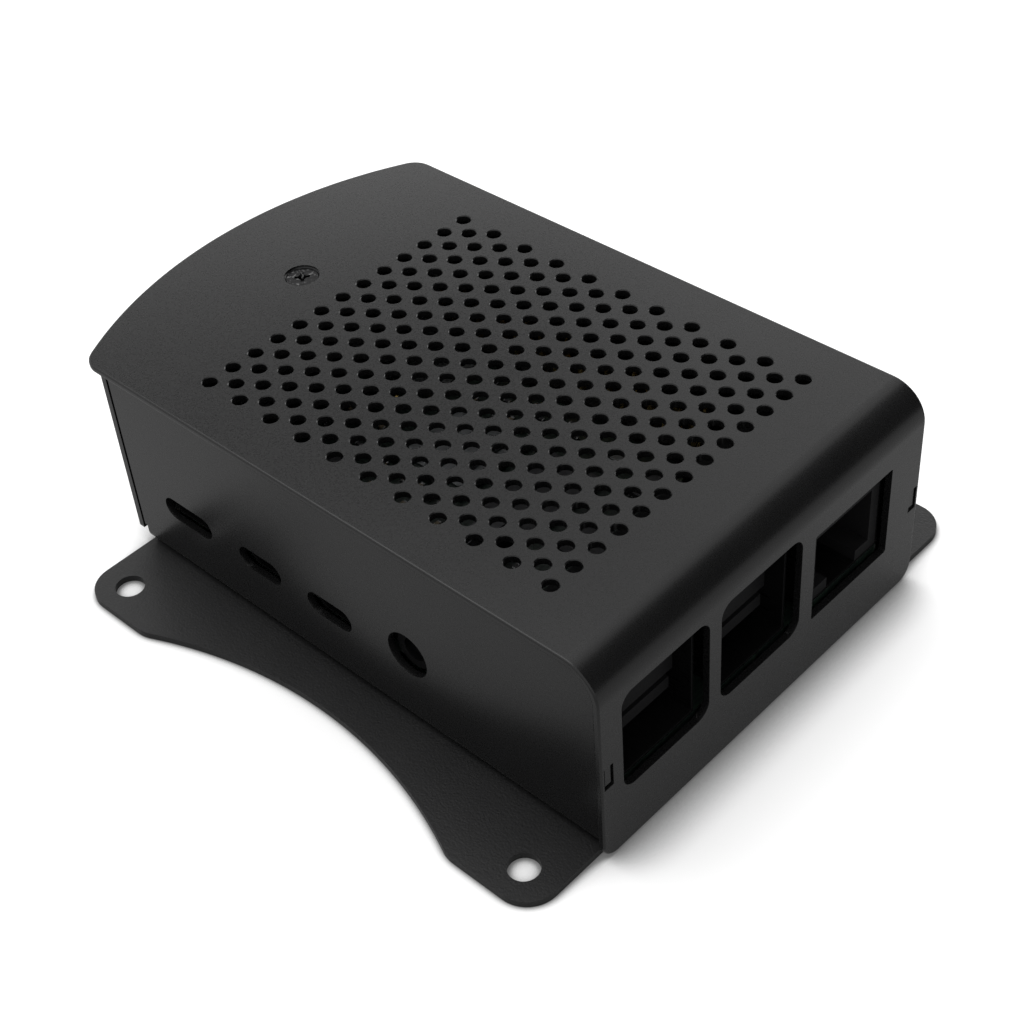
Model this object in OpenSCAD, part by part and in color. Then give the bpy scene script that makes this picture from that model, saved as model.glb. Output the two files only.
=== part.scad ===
// Single board computer in a vented sheet metal case with a screw-down mounting plate.
// Units are millimetres. X runs along the case, towards the port panel.
// Y runs across it, with the power and picture sockets on the negative side. Z is up.
// The origin is on the underside of the mounting plate, in the middle of its four ear holes.

/* [Sheet metal] */
// Thickness of the plate, tray and cover sheets
sheet = 1; // [0.8:0.1:1.2]
// Overall height, from the plate's underside to the top of the cover
case_h = 32; // [32:0.5:38]

/* [Mounting plate] */
// Width of the plate across its ears
plate_w = 87; // [86:0.5:96]
// Distance of the ear holes from the plate's front and rear edges
ear_edge_x = 5.2; // [4.6:0.1:6]
// Distance of the ear holes from the plate's long edges
ear_edge_y = 4.6; // [4:0.1:5.5]
// Ear hole diameter
ear_hole_d = 4.2; // [3.2:0.1:4.6]
// Radius of the ears' outer corners
ear_corner_r = 4.5; // [4:0.5:7]
// Length of the scalloped stretch between two ears
scallop_len = 58; // [50:1:62]
// Depth of the scallop
scallop_depth = 6.6; // [4:0.1:8]

/* [Tray] */
// Gap between the board's near edge and the side wall
side_gap = 0.95; // [0.9:0.05:1.2]
// Gap between the board's rear edge and the rear wall
rear_gap = 1.2; // [1:0.1:2]
// Outside radius of the tray's bends
tray_bend_r = 2; // [1.6:0.1:2.4]
// Gap left at the rear corners
corner_gap = 0.5; // [0.3:0.1:0.8]
// Length of the tabs that hook into the port panel
tab_len = 1.1; // [0.8:0.1:1.3]
// Height of the tabs
tab_h = 3; // [2.5:0.1:3.2]
// Width of the screw bracket folded from the rear wall
bracket_w = 16; // [12:0.5:24]
// Reach of the bracket past the cover screw
bracket_reach = 4; // [3:0.5:6]
// Width of the memory card window in the rear wall
card_window_w = 16; // [14:0.5:20]
// Height of the memory card window
card_window_h = 8.5; // [6:0.5:9]
// Bottom of the memory card window
card_window_z = 4.6; // [4.2:0.1:5]

/* [Side ports] */
// Length of the power slot
power_slot_len = 9.8; // [9.6:0.1:11]
// Length of the two video slots
video_slot_len = 8.3; // [7.6:0.1:9.5]
// Height of the slots
side_slot_h = 3.6; // [3.5:0.1:4.2]
// Diameter of the audio hole
audio_hole_d = 6.8; // [6.4:0.1:7.4]

/* [Cover] */
// How far the cover stands past the tray on each side
cover_overhang = 0.8; // [0.6:0.05:1]
// Outside radius of the bend between top and panel
cover_bend_r = 5.2; // [4.2:0.1:5.6]
// Radius of the bowed rear edge
bow_r = 62; // [54:1:90]
// How far the bowed rear edge reaches past the rear wall
bow_reach = 10.6; // [10:0.1:13]
// Radius of the two rear corners
rear_corner_r = 3.5; // [2:0.1:5]
// Radius of the panel's lower corners
panel_corner_r = 2.5; // [1:0.1:4]
// Gap between the panel's lower edge and the surface it stands on
panel_lift = 0.2; // [0.1:0.1:0.6]
// Play between the cover and the top of the tray
seat_gap = 0.1; // [0.05:0.05:0.2]
// Play between the cover and the front of the tray
front_gap = 0.3; // [0.2:0.05:0.4]

/* [Vents] */
// Vent hole diameter
vent_d = 2.1; // [1.6:0.1:2.6]
// Vent spacing along X
vent_pitch_x = 6; // [5:0.1:6.2]
// Vent spacing along Y
vent_pitch_y = 4; // [3.4:0.1:4.2]
// Vents in a full row along X
vent_cols = 11; // [7:1:11]
// Full rows of vents along Y
vent_rows = 13; // [7:1:13]
// Middle of the vents along X
vent_x = 0.4; // [-1:0.1:1]

/* [Panel openings] */
// Width of the data port openings
data_open_w = 15.8; // [14.5:0.1:16.4]
// Height of the data port openings
data_open_h = 16; // [15.6:0.1:16.2]
// Corner radius of the data port openings
data_open_r = 2; // [0.5:0.1:3]
// Width of the network opening
net_open_w = 16.3; // [16.1:0.1:16.8]
// Height of the network opening
net_open_h = 14.2; // [13.8:0.1:15]
// Corner radius of the network opening
net_open_r = 0.3; // [0.2:0.1:1]
// Width of the tab slots
tab_slot_w = 1.6; // [1.5:0.1:1.8]
// Height of the tab slots
tab_slot_h = 3.7; // [3.6:0.1:4.2]
// Bottom of the tab slots
tab_slot_z = 12.8; // [12:0.1:14]

/* [Fasteners] */
// Thread diameter of the screws
screw_d = 2.5; // [2.4:0.1:2.6]
// Play between a screw and its thread
thread_play = 0.05; // [0.03:0.01:0.08]
// Distance of the cover screw from the outside of the rear wall
cover_screw_inset = 6.6; // [6.2:0.1:7]
// Length of the cover screw
cover_screw_len = 4.8; // [4.6:0.1:5]
// Head diameter of the countersunk cover screw
flat_head_d = 4.7; // [4.5:0.1:4.9]
// Width across the square clamp nut
nut_w = 5; // [4.5:0.1:5.5]
// Thickness of the clamp nut
nut_h = 2; // [1.8:0.1:2]
// Standoff diameter
standoff_d = 5; // [4.6:0.1:5.2]
// Diameter of the standoffs' riveted feet
rivet_d = 3.4; // [3.2:0.1:3.8]
// Play around the riveted feet
rivet_play = 0.03; // [0.02:0.01:0.05]

/* [Circuit board] */
// Length of the board
board_len = 85; // [77:0.5:95]
// Width of the board
board_w = 56; // [51:0.5:62]
// Thickness of the board
board_t = 1.4; // [1.2:0.1:1.6]
// Top face of the board above the plate's underside
board_top = 10.2; // [10:0.1:10.4]
// How far the board's middle lies towards the port panel
board_x = 0.1; // [0:0.05:0.2]
// How far the board's middle lies towards the side ports
board_shift = 1; // [0.9:0.1:1.1]
// Gap between the board's front edge and the panel
board_gap = 0.4; // [0.4:0.05:0.6]
// Radius of the board's corners
board_corner_r = 3; // [2:0.1:3.4]
// Mounting hole diameter
board_hole_d = 2.7; // [2.7:0.1:3]
// How far the side sockets stand past the board's edge
socket_overhang = 0.7; // [0.4:0.1:0.8]
// Travel of the ribbon latches
latch_lift = 1.5; // [1:0.1:1.5]

/* [Hidden] */
$fn = 48;
eps = 0.01;
// How far a cut runs past the face it opens
over = 1;
// Facets of the long arcs and of the vents
long_arc_fn = 200;
vent_fn = 24;
// Colours
coat_black = "#2a2b2e";
black_zinc = "#3a3b3d";
bright_metal = "#a8abaf";
can_metal = "#7d8084";
port_metal = "#3c3d40";
port_black = "#17171a";
chip_black = "#1b1b1d";
gold = "#c9a24a";
// Board edges
board_front = board_x + board_len / 2;
board_rear = board_front - board_len;
board_near = -board_shift - board_w / 2;
board_under = board_top - board_t;
socket_face = board_near - socket_overhang;
// Sheet stack and walls, set out from the board
floor_top = 2 * sheet;
cover_under = case_h - sheet;
wall_top = cover_under - seat_gap;
panel_in = board_front + board_gap;
panel_x = panel_in + sheet;
wall_in = side_gap - board_near;
tray_half = wall_in + sheet;
tray_w = 2 * tray_half;
cover_w = tray_w + 2 * cover_overhang;
tray_front = panel_in - front_gap;
rear_in = board_rear - rear_gap;
rear_out = rear_in - sheet;
cover_screw_x = rear_out + cover_screw_inset;
// Plate and its ear holes
plate_len = 2 * tray_front;
ear_pitch_x = plate_len - 2 * ear_edge_x;
ear_pitch_y = plate_w - 2 * ear_edge_y;
// Plate scallop: the circle through both ear corners and the scallop's deepest point
scallop_r = (scallop_len * scallop_len / 4 + scallop_depth * scallop_depth) / (2 * scallop_depth);
// Rear bow: the bow's centre, and the centres of the corner arcs that run into it
bow_x = bow_r + rear_out - bow_reach;
corner_y = cover_w / 2 - rear_corner_r;
corner_x = bow_x - sqrt(pow(bow_r - rear_corner_r, 2) - corner_y * corner_y);
// Board holes, measured from the board's rear near corner as every place on the board is
hole_inset = 3.5;
front_hole_inset = 23.5;
hole_pitch_x = board_len - hole_inset - front_hole_inset;
hole_pitch_y = board_w - 2 * hole_inset;
// Places on the board are drawn for this bay behind the ports and this width, and spread with them
network_depth = 19.5;
drawn_bay = 65.5;
drawn_w = 56;
along = (board_len - network_depth) / drawn_bay;
across = board_w / drawn_w;
function spread(place) = [place[0] * along, place[1] * across];
power_at = 11.2;
rear_video_place = 26;
rear_video_at = rear_video_place * along;
front_video_place = 39.5;
front_video_at = front_video_place * along;
audio_place = 54;
audio_at = audio_place * along;
near_data_place = 9;
near_data_at = near_data_place * across;
far_data_place = 27;
far_data_at = far_data_place * across;
network_place = 45.75;
network_at = network_place * across;
// Side sockets
power_w = 8.9;
video_w = 6.6;
socket_h = 3.2;
socket_wall = 0.3;
power_depth = 7.3;
video_depth = 7.5;
tongue_t = 0.7;
tongue_back = 2;
tongue_setback = 1;
power_tongue_inset = 1.1;
video_tongue_inset = 1.2;
video_cut = 1.1;
audio_w = 6.6;
audio_depth = 11.5;
audio_barrel_d = 5.9;
audio_bore_d = 3.5;
audio_inset = 0.2;
audio_barrel_len = socket_overhang + audio_inset;
// Front ports
data_w = 13.2;
data_h = 15.3;
data_depth = 17;
port_wall = 0.4;
data_back = 6.5;
data_mouth = 2.9;
data_divider = 3.2;
data_tongue_w = 11;
data_tongue_t = 1.9;
data_tongue_gap = 0.9;
network_w = 15.9;
network_h = 13.3;
network_bay_w = 11.8;
network_bay_h = 8.6;
network_bay_depth = 13;
network_bay_drop = 2.2;
network_key_w = 6.2;
network_key_h = 2;
net_open_drop = 0.3;
contact_size = [8, 0.4, 0.4];
contact_count = 8;
contact_pitch = 1.02;
// Headers
pin_pitch = 2.54;
pin_w = 0.64;
pin_play = 0.02;
header_h = 2.5;
pin_h = 8.5;
header_end_gap = 1;
small_header_cols = 2;
header_at = [hole_inset + hole_pitch_x / 2, board_w - hole_inset];
small_header_place = [61.8, 46.3];
small_header_at = spread(small_header_place);
// Ribbon sockets
ribbon_w = 22;
ribbon_d = 3.4;
ribbon_slot_w = 17;
ribbon_slot_d = 1;
ribbon_floor = 0.6;
latch_h = 1.2;
latch_tongue_w = 16.4;
latch_tongue_d = 0.6;
latch_gap = 0.05;
latch_grip = 0.9;
latch_foot_gap = 0.65;
// The tongue still holds in its slot when the latch is lifted
latch_tongue_h = latch_lift + latch_grip;
ribbon_slot_depth = latch_tongue_h - latch_gap + latch_foot_gap;
ribbon_h = ribbon_slot_depth + ribbon_floor;
display_place = [2.5, 28];
display_at = spread(display_place);
camera_place = [46.6, 12.2];
camera_at = spread(camera_place);
// Memory card and its socket, under the board's rear edge
card_w = 11;
card_len = 15;
card_t = 0.9;
card_play = 0.15;
card_stick_out = 2.2;
card_corner_r = 0.6;
card_socket_wall = 0.2;
card_socket_from = 1;
card_socket_len = 12.5;
card_socket_w = card_w + 2 * card_play + 2 * card_socket_wall;
card_socket_h = card_t + 2 * card_play + 2 * card_socket_wall;
// Chips: length, width, height
processor_size = [15, 15, 1];
spreader_size = [12.4, 12.4, 0.9];
memory_size = [10.4, 14.4, 1];
power_chip_size = [5, 5, 0.9];
controller_size = [7, 7, 0.9];
network_chip_size = [6, 6, 0.9];
shield_size = [12, 10, 1.6];
lamp_size = [1, 1.8, 0.7];
crystal_size = [3.2, 2.5, 0.8];
inductor_size = [4, 4, 2];
capacitor_size = [0.9, 1.7, 0.9];
processor_place = [29.2, 32.5];
processor_at = spread(processor_place);
memory_place = [44.6, 33];
memory_at = spread(memory_place);
power_chip_place = [13, 17];
power_chip_at = spread(power_chip_place);
controller_place = [57.4, 29.5];
controller_at = spread(controller_place);
network_chip_place = [55.2, 43.6];
network_chip_at = spread(network_chip_place);
shield_place = [12.4, 43.3];
shield_at = spread(shield_place);
power_lamp_place = [2.4, 9];
power_lamp_at = spread(power_lamp_place);
activity_lamp_place = [2.4, 12.4];
activity_lamp_at = spread(activity_lamp_place);
crystal_places = [[47.5, 45.4], [62.4, 36]];
inductor_places = [[19.4, 12.6], [19.4, 18.4]];
capacitor_cols = 6;
capacitor_pitch = 2.4;
// Fastener details
pan_head_d = 4.6;
pan_head_h = 1.7;
// As many pins as fit between the heads of two board screws
header_cols = floor((hole_pitch_x - pan_head_d - 2 * header_end_gap) / pin_pitch);
board_screw_len = 5;
bore_spare = 1;
cone_play = 0.06;
cross_w = 0.8;
cross_len = 2.6;
cross_depth = 0.8;
nut_gap = 0.1;
bracket_r = 1.8;
bracket_relief = 0.8;
notch_play = 0.2;
notch_w = screw_d + 2 * notch_play;
card_window_r = 1.5;
tab_top_gap = 0.2;

// Places a shape at a point given on the board, standing on the board's top face
module on_board(at) {
    translate([board_rear + at[0], board_near + at[1], board_top]) children();
}

// Repeats a shape at the board's four mounting holes
module at_board_holes() {
    for (i = [0, 1], j = [0, 1])
        translate([
            board_rear + hole_inset + i * hole_pitch_x,
            board_near + hole_inset + j * hole_pitch_y,
            0
        ]) children();
}

// Draws a shape, given across and up, and pulls it along X
module along_x(length) {
    rotate([90, 0, 90]) linear_extrude(length) children();
}

// Draws a shape, given along and up, and pulls it along Y, centred
module along_y(length) {
    translate([0, length / 2, 0]) rotate([90, 0, 0]) linear_extrude(length) children();
}

// Box centred in plan, standing on the ground plane
module block(size) {
    translate([-size[0] / 2, -size[1] / 2, 0]) cube(size);
}

// Rectangle with four round corners, centred
module rounded_rect(length, width, r) {
    square([length - 2 * r, width], center = true);
    square([length, width - 2 * r], center = true);
    for (i = [-1, 1], j = [-1, 1])
        translate([i * (length / 2 - r), j * (width / 2 - r)]) circle(r);
}

// Slot with two round ends, centred
module stadium(length, height) {
    square([length - height, height], center = true);
    for (i = [-1, 1])
        translate([i * (length - height) / 2, 0]) circle(d = height);
}

// Quarter of a ring in the first quadrant, for folded sheet
module quarter_ring(r_out, r_in) {
    intersection() {
        difference() {
            circle(r_out);
            if (r_in > 0) circle(r_in);
        }
        square(r_out + eps);
    }
}

// Cross recess cut into a screw head from above
module cross_recess() {
    for (a = [45, 135])
        rotate(a) translate([-cross_len / 2, -cross_w / 2, -cross_depth])
            cube([cross_len, cross_w, cross_depth + over]);
}

// Case

module mounting_plate() {
    color(coat_black)
        linear_extrude(sheet)
            difference() {
                rounded_rect(plate_len, plate_w, ear_corner_r);
                for (s = [-1, 1])
                    translate([0, s * (plate_w / 2 - scallop_depth + scallop_r)])
                        circle(scallop_r, $fn = long_arc_fn);
                for (i = [-1, 1], j = [-1, 1])
                    translate([i * ear_pitch_x / 2, j * ear_pitch_y / 2]) circle(d = ear_hole_d);
                at_board_holes() circle(d = rivet_d + 2 * rivet_play);
            }
}

// Inside or outside of the tray's channel, with round lower corners
module channel_outline(half, bottom, r) {
    translate([-half, bottom + r]) square([2 * half, wall_top - bottom - r]);
    translate([-half + r, bottom]) square([2 * (half - r), r]);
    for (s = [-1, 1])
        translate([s * (half - r), bottom + r]) circle(r);
}

// Side view of the walls: the front top corner follows the cover's bend
module wall_side_view() {
    r = cover_bend_r - sheet - front_gap;
    start = rear_in + corner_gap;
    translate([start, 0]) square([tray_front - r - start, wall_top]);
    translate([start, 0]) square([tray_front - start, wall_top - r]);
    translate([tray_front - r, wall_top - r]) circle(r);
}

// Floor and side walls, folded from one sheet
module tray_channel() {
    fold_x = rear_out + tray_bend_r;
    intersection() {
        union() {
            translate([fold_x, 0, 0]) along_x(tray_front - fold_x)
                difference() {
                    channel_outline(tray_half, sheet, tray_bend_r);
                    translate([0, eps]) channel_outline(wall_in, floor_top - eps, tray_bend_r - sheet);
                }
            for (s = [-1, 1])
                translate([rear_in, s * (tray_half - sheet / 2) - sheet / 2, floor_top + tray_bend_r])
                    cube([fold_x - rear_in, sheet, wall_top - floor_top - tray_bend_r]);
        }
        along_y(tray_w + over) wall_side_view();
    }
}

// Rear wall, its fold at the floor and the bracket folded from its top
module tray_rear_wall() {
    fold_w = 2 * (tray_half - tray_bend_r - corner_gap);
    fold_z = sheet + tray_bend_r;
    bracket_front = cover_screw_x + bracket_reach;
    difference() {
        translate([rear_out, -tray_half, fold_z]) cube([sheet, tray_w, wall_top - fold_z]);
        translate([rear_out - over, -bracket_w / 2 - bracket_relief, wall_top - bracket_r])
            cube([sheet + 2 * over, bracket_w + 2 * bracket_relief, bracket_r + over]);
    }
    translate([rear_out + tray_bend_r, 0, fold_z])
        along_y(fold_w) rotate(180) quarter_ring(tray_bend_r, tray_bend_r - sheet);
    translate([rear_out + bracket_r, 0, wall_top - bracket_r])
        along_y(bracket_w) rotate(90) quarter_ring(bracket_r, bracket_r - sheet);
    translate([rear_out + bracket_r, -bracket_w / 2, wall_top - sheet])
        cube([bracket_front - rear_out - bracket_r, bracket_w, sheet]);
}

// Socket holes through the near side wall
module side_port_holes() {
    socket_z = board_top + socket_h / 2;
    translate([0, -tray_half - over, 0]) rotate([-90, 0, 0]) linear_extrude(sheet + 2 * over) {
        translate([board_rear + power_at, -socket_z]) stadium(power_slot_len, side_slot_h);
        for (at = [rear_video_at, front_video_at])
            translate([board_rear + at, -socket_z]) stadium(video_slot_len, side_slot_h);
        translate([board_rear + audio_at, -board_top - audio_w / 2]) circle(d = audio_hole_d);
    }
}

module base_tray() {
    color(coat_black)
        difference() {
            union() {
                tray_channel();
                tray_rear_wall();
                for (s = [-1, 1])
                    translate([
                        tray_front - eps,
                        s * (tray_half - sheet / 2) - sheet / 2,
                        tab_slot_z + tab_slot_h - tab_top_gap - tab_h
                    ]) cube([tab_len + eps, sheet, tab_h]);
            }
            side_port_holes();
            at_board_holes() cylinder(d = rivet_d + 2 * rivet_play, h = floor_top + over);
            translate([rear_out - over, -board_shift, card_window_z + card_window_h / 2])
                along_x(sheet + 2 * over) rounded_rect(card_window_w, card_window_h, card_window_r);
            // Notch that lets the loosened cover screw slide out forwards
            translate([cover_screw_x, 0, wall_top - sheet - over]) {
                cylinder(d = notch_w, h = sheet + 2 * over);
                translate([0, -notch_w / 2, 0])
                    cube([bracket_reach + over, notch_w, sheet + 2 * over]);
            }
        }
}

// Plan of the cover's flat top: straight sides, round rear corners and a bowed rear edge
module cover_plan() {
    straight_end = panel_x - cover_bend_r;
    translate([corner_x, -cover_w / 2]) square([straight_end - corner_x, cover_w]);
    for (s = [-1, 1])
        translate([corner_x, s * corner_y]) circle(rear_corner_r);
    intersection() {
        translate([bow_x, 0]) circle(bow_r, $fn = long_arc_fn);
        polygon([
            [bow_x, 0],
            [bow_x + 2 * (corner_x - bow_x), 2 * corner_y],
            [bow_x + 2 * (corner_x - bow_x), -2 * corner_y]
        ]);
    }
}

module vent_holes() {
    for (i = [0 : vent_cols - 1], j = [0 : vent_rows - 1])
        translate([(i - (vent_cols - 1) / 2) * vent_pitch_x, (j - (vent_rows - 1) / 2) * vent_pitch_y])
            circle(d = vent_d, $fn = vent_fn);
    for (i = [0 : vent_cols - 2], j = [0 : vent_rows - 2])
        translate([(i - (vent_cols - 2) / 2) * vent_pitch_x, (j - (vent_rows - 2) / 2) * vent_pitch_y])
            circle(d = vent_d, $fn = vent_fn);
}

// Port panel seen from the front, across and up, down from the bend
module panel_outline() {
    panel_top = case_h - cover_bend_r;
    translate([-cover_w / 2, panel_lift + panel_corner_r])
        square([cover_w, panel_top - panel_lift - panel_corner_r]);
    translate([-cover_w / 2 + panel_corner_r, panel_lift])
        square([cover_w - 2 * panel_corner_r, panel_corner_r]);
    for (s = [-1, 1])
        translate([s * (cover_w / 2 - panel_corner_r), panel_lift + panel_corner_r]) circle(panel_corner_r);
}

module panel_openings() {
    for (at = [near_data_at, far_data_at])
        translate([board_near + at, board_top + data_h / 2])
            rounded_rect(data_open_w, data_open_h, data_open_r);
    translate([board_near + network_at, board_top + network_h / 2 - net_open_drop])
        rounded_rect(net_open_w, net_open_h, net_open_r);
    for (s = [-1, 1])
        translate([s * (tray_half - sheet / 2) - tab_slot_w / 2, tab_slot_z])
            square([tab_slot_w, tab_slot_h]);
}

module top_cover() {
    color(coat_black)
        difference() {
            union() {
                translate([0, 0, cover_under]) linear_extrude(sheet)
                    difference() {
                        cover_plan();
                        translate([vent_x, 0]) vent_holes();
                    }
                translate([panel_x - cover_bend_r, 0, case_h - cover_bend_r])
                    along_y(cover_w) quarter_ring(cover_bend_r, cover_bend_r - sheet);
                translate([panel_in, 0, 0]) along_x(sheet)
                    difference() {
                        panel_outline();
                        panel_openings();
                    }
            }
            translate([cover_screw_x, 0, cover_under - eps])
                cylinder(
                    r1 = flat_head_d / 2 - sheet + cone_play,
                    r2 = flat_head_d / 2 + cone_play + 2 * eps,
                    h = sheet + 2 * eps
                );
        }
}

// Fasteners

module cover_screw() {
    cone_h = (flat_head_d - screw_d) / 2;
    color(black_zinc)
        translate([cover_screw_x, 0, case_h])
            difference() {
                union() {
                    translate([0, 0, -cone_h]) cylinder(d1 = screw_d, d2 = flat_head_d, h = cone_h);
                    translate([0, 0, -cover_screw_len]) cylinder(d = screw_d, h = cover_screw_len - cone_h);
                }
                cross_recess();
            }
}

module cover_nut() {
    color(bright_metal)
        translate([cover_screw_x, 0, wall_top - sheet - nut_gap - nut_h])
            difference() {
                block([nut_w, nut_w, nut_h]);
                translate([0, 0, -over]) cylinder(d = screw_d + 2 * thread_play, h = nut_h + 2 * over);
            }
}

module board_standoffs() {
    bore = board_screw_len - board_t + bore_spare;
    color("#b9a46a")
        at_board_holes()
            difference() {
                union() {
                    cylinder(d = rivet_d, h = floor_top + eps);
                    translate([0, 0, floor_top]) cylinder(d = standoff_d, h = board_under - floor_top);
                }
                translate([0, 0, board_under - bore])
                    cylinder(d = screw_d + 2 * thread_play, h = bore + over);
            }
}

module board_screws() {
    color(bright_metal)
        at_board_holes()
            translate([0, 0, board_top])
                difference() {
                    union() {
                        cylinder(d = pan_head_d, h = pan_head_h);
                        translate([0, 0, -board_screw_len])
                            cylinder(d = screw_d, h = board_screw_len + eps);
                    }
                    translate([0, 0, pan_head_h]) cross_recess();
                }
}

// Board and chips

module circuit_board() {
    color("#121a16")
        translate([board_rear + board_len / 2, board_near + board_w / 2, board_under])
            linear_extrude(board_t)
                difference() {
                    rounded_rect(board_len, board_w, board_corner_r);
                    for (i = [0, 1], j = [0, 1])
                        translate([
                            hole_inset + i * hole_pitch_x - board_len / 2,
                            hole_inset + j * hole_pitch_y - board_w / 2
                        ]) circle(d = board_hole_d);
                }
}

module processor() {
    color("#17241d") on_board(processor_at) block(processor_size);
}

module heat_spreader() {
    color(can_metal) on_board(processor_at) translate([0, 0, processor_size[2]]) block(spreader_size);
}

module memory_chip() {
    color(chip_black) on_board(memory_at) block(memory_size);
}

module power_chip() {
    color(chip_black) on_board(power_chip_at) block(power_chip_size);
}

module port_controller() {
    color(chip_black) on_board(controller_at) block(controller_size);
}

module network_controller() {
    color(chip_black) on_board(network_chip_at) block(network_chip_size);
}

module wireless_shield() {
    color(can_metal) on_board(shield_at) block(shield_size);
}

module power_lamp() {
    color("#c22a22") on_board(power_lamp_at) block(lamp_size);
}

module activity_lamp() {
    color("#2aa84a") on_board(activity_lamp_at) block(lamp_size);
}

module crystals() {
    color(can_metal)
        for (place = crystal_places)
            on_board(spread(place)) block(crystal_size);
}

module inductors() {
    color("#3b3b3e")
        for (place = inductor_places)
            on_board(spread(place)) block(inductor_size);
}

// Two rows of small capacitors, one on each side of the processor
module capacitors() {
    row = processor_size[1] / 2 + capacitor_size[1];
    color("#8a7a5c")
        for (i = [0 : capacitor_cols - 1], s = [-1, 1])
            on_board([
                processor_at[0] + (i - (capacitor_cols - 1) / 2) * capacitor_pitch,
                processor_at[1] + s * row
            ]) block(capacitor_size);
}

// Front ports

// Puts a port's own frame at the board's front edge: X runs back into the port
module front_port(at) {
    translate([board_front, board_near + at, board_top]) mirror([1, 0, 0]) children();
}

// Metal shell of a stacked pair of data ports
module data_shell(at) {
    color(port_metal)
        front_port(at)
            difference() {
                translate([0, -data_w / 2, 0]) cube([data_depth, data_w, data_h]);
                translate([-over, -data_w / 2 + port_wall, port_wall])
                    cube([data_depth - port_wall + over, data_w - 2 * port_wall, data_h - 2 * port_wall]);
            }
}

// Plastic body inside a data shell: back block, divider and one tongue in each bay, behind an open mouth
module data_insert(at) {
    inner_w = data_w - 2 * port_wall;
    inner_h = data_h - 2 * port_wall;
    back_x = data_depth - port_wall - data_back;
    bay_h = (inner_h - data_divider) / 2;
    color(port_black)
        front_port(at)
            translate([0, 0, port_wall]) {
                translate([back_x, -inner_w / 2, 0]) cube([data_back, inner_w, inner_h]);
                translate([data_mouth, -inner_w / 2, bay_h])
                    cube([back_x - data_mouth + eps, inner_w, data_divider]);
                for (z = [0, bay_h + data_divider])
                    translate([
                        data_mouth,
                        -data_tongue_w / 2,
                        z + bay_h - data_tongue_t - data_tongue_gap
                    ])
                        cube([back_x - data_mouth + eps, data_tongue_w, data_tongue_t]);
            }
}

module near_data_shell() {
    data_shell(near_data_at);
}

module near_data_insert() {
    data_insert(near_data_at);
}

module far_data_shell() {
    data_shell(far_data_at);
}

module far_data_insert() {
    data_insert(far_data_at);
}

module network_shell() {
    color(port_metal)
        front_port(network_at)
            difference() {
                translate([0, -network_w / 2, 0]) cube([network_depth, network_w, network_h]);
                translate([-over, -network_w / 2 + port_wall, port_wall])
                    cube([
                        network_depth - port_wall + over,
                        network_w - 2 * port_wall,
                        network_h - 2 * port_wall
                    ]);
            }
}

// Plastic body of the network jack: a bay for the plug with a keyway below it
module network_insert() {
    inner_w = network_w - 2 * port_wall;
    inner_h = network_h - 2 * port_wall;
    bay_z = inner_h - network_bay_drop - network_bay_h;
    color(port_black)
        front_port(network_at)
            translate([0, 0, port_wall])
                difference() {
                    translate([0, -inner_w / 2, 0]) cube([network_depth - port_wall, inner_w, inner_h]);
                    translate([-over, -network_bay_w / 2, bay_z])
                        cube([network_bay_depth + over, network_bay_w, network_bay_h]);
                    translate([-over, -network_key_w / 2, bay_z - network_key_h])
                        cube([network_bay_depth + over, network_key_w, network_key_h + over]);
                }
}

// Row of spring contacts under the roof of the network bay
module network_contacts() {
    roof = network_h - port_wall - network_bay_drop;
    color(gold)
        front_port(network_at)
            for (i = [0 : contact_count - 1])
                translate([
                    network_bay_depth - contact_size[0],
                    (i - (contact_count - 1) / 2) * contact_pitch - contact_size[1] / 2,
                    roof - contact_size[2]
                ]) cube(contact_size);
}

// Side sockets

// Puts a socket's own frame at its open face: X across, Y up, Z back into the socket
module side_socket(at) {
    translate([board_rear + at, socket_face, board_top + socket_h / 2]) rotate([90, 0, 180]) children();
}

module power_outline(inset) {
    stadium(power_w - 2 * inset, socket_h - 2 * inset);
}

// Video socket outline: lower corners cut back
module video_outline(inset) {
    w = video_w / 2 - inset;
    h = socket_h / 2 - inset;
    polygon([
        [-w, h], [w, h], [w, -h + video_cut], [w - video_cut, -h],
        [-w + video_cut, -h], [-w, -h + video_cut]
    ]);
}

module power_shell() {
    color(port_metal)
        side_socket(power_at)
            difference() {
                linear_extrude(power_depth) power_outline(0);
                translate([0, 0, -over]) linear_extrude(power_depth + 2 * over) power_outline(socket_wall);
            }
}

module power_tongue() {
    back_z = power_depth - tongue_back;
    color(port_black)
        side_socket(power_at) {
            translate([0, 0, back_z]) linear_extrude(tongue_back) power_outline(socket_wall);
            translate([-power_w / 2 + power_tongue_inset, -tongue_t / 2, tongue_setback])
                cube([power_w - 2 * power_tongue_inset, tongue_t, back_z - tongue_setback + eps]);
        }
}

module video_shell(at) {
    color(port_metal)
        side_socket(at)
            difference() {
                linear_extrude(video_depth) video_outline(0);
                translate([0, 0, -over]) linear_extrude(video_depth + 2 * over) video_outline(socket_wall);
            }
}

module video_tongue(at) {
    back_z = video_depth - tongue_back;
    color(port_black)
        side_socket(at) {
            translate([0, 0, back_z]) linear_extrude(tongue_back) video_outline(socket_wall);
            translate([-video_w / 2 + video_tongue_inset, 0, tongue_setback])
                cube([video_w - 2 * video_tongue_inset, tongue_t, back_z - tongue_setback + eps]);
        }
}

module rear_video_shell() {
    video_shell(rear_video_at);
}

module rear_video_tongue() {
    video_tongue(rear_video_at);
}

module front_video_shell() {
    video_shell(front_video_at);
}

module front_video_tongue() {
    video_tongue(front_video_at);
}

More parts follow.
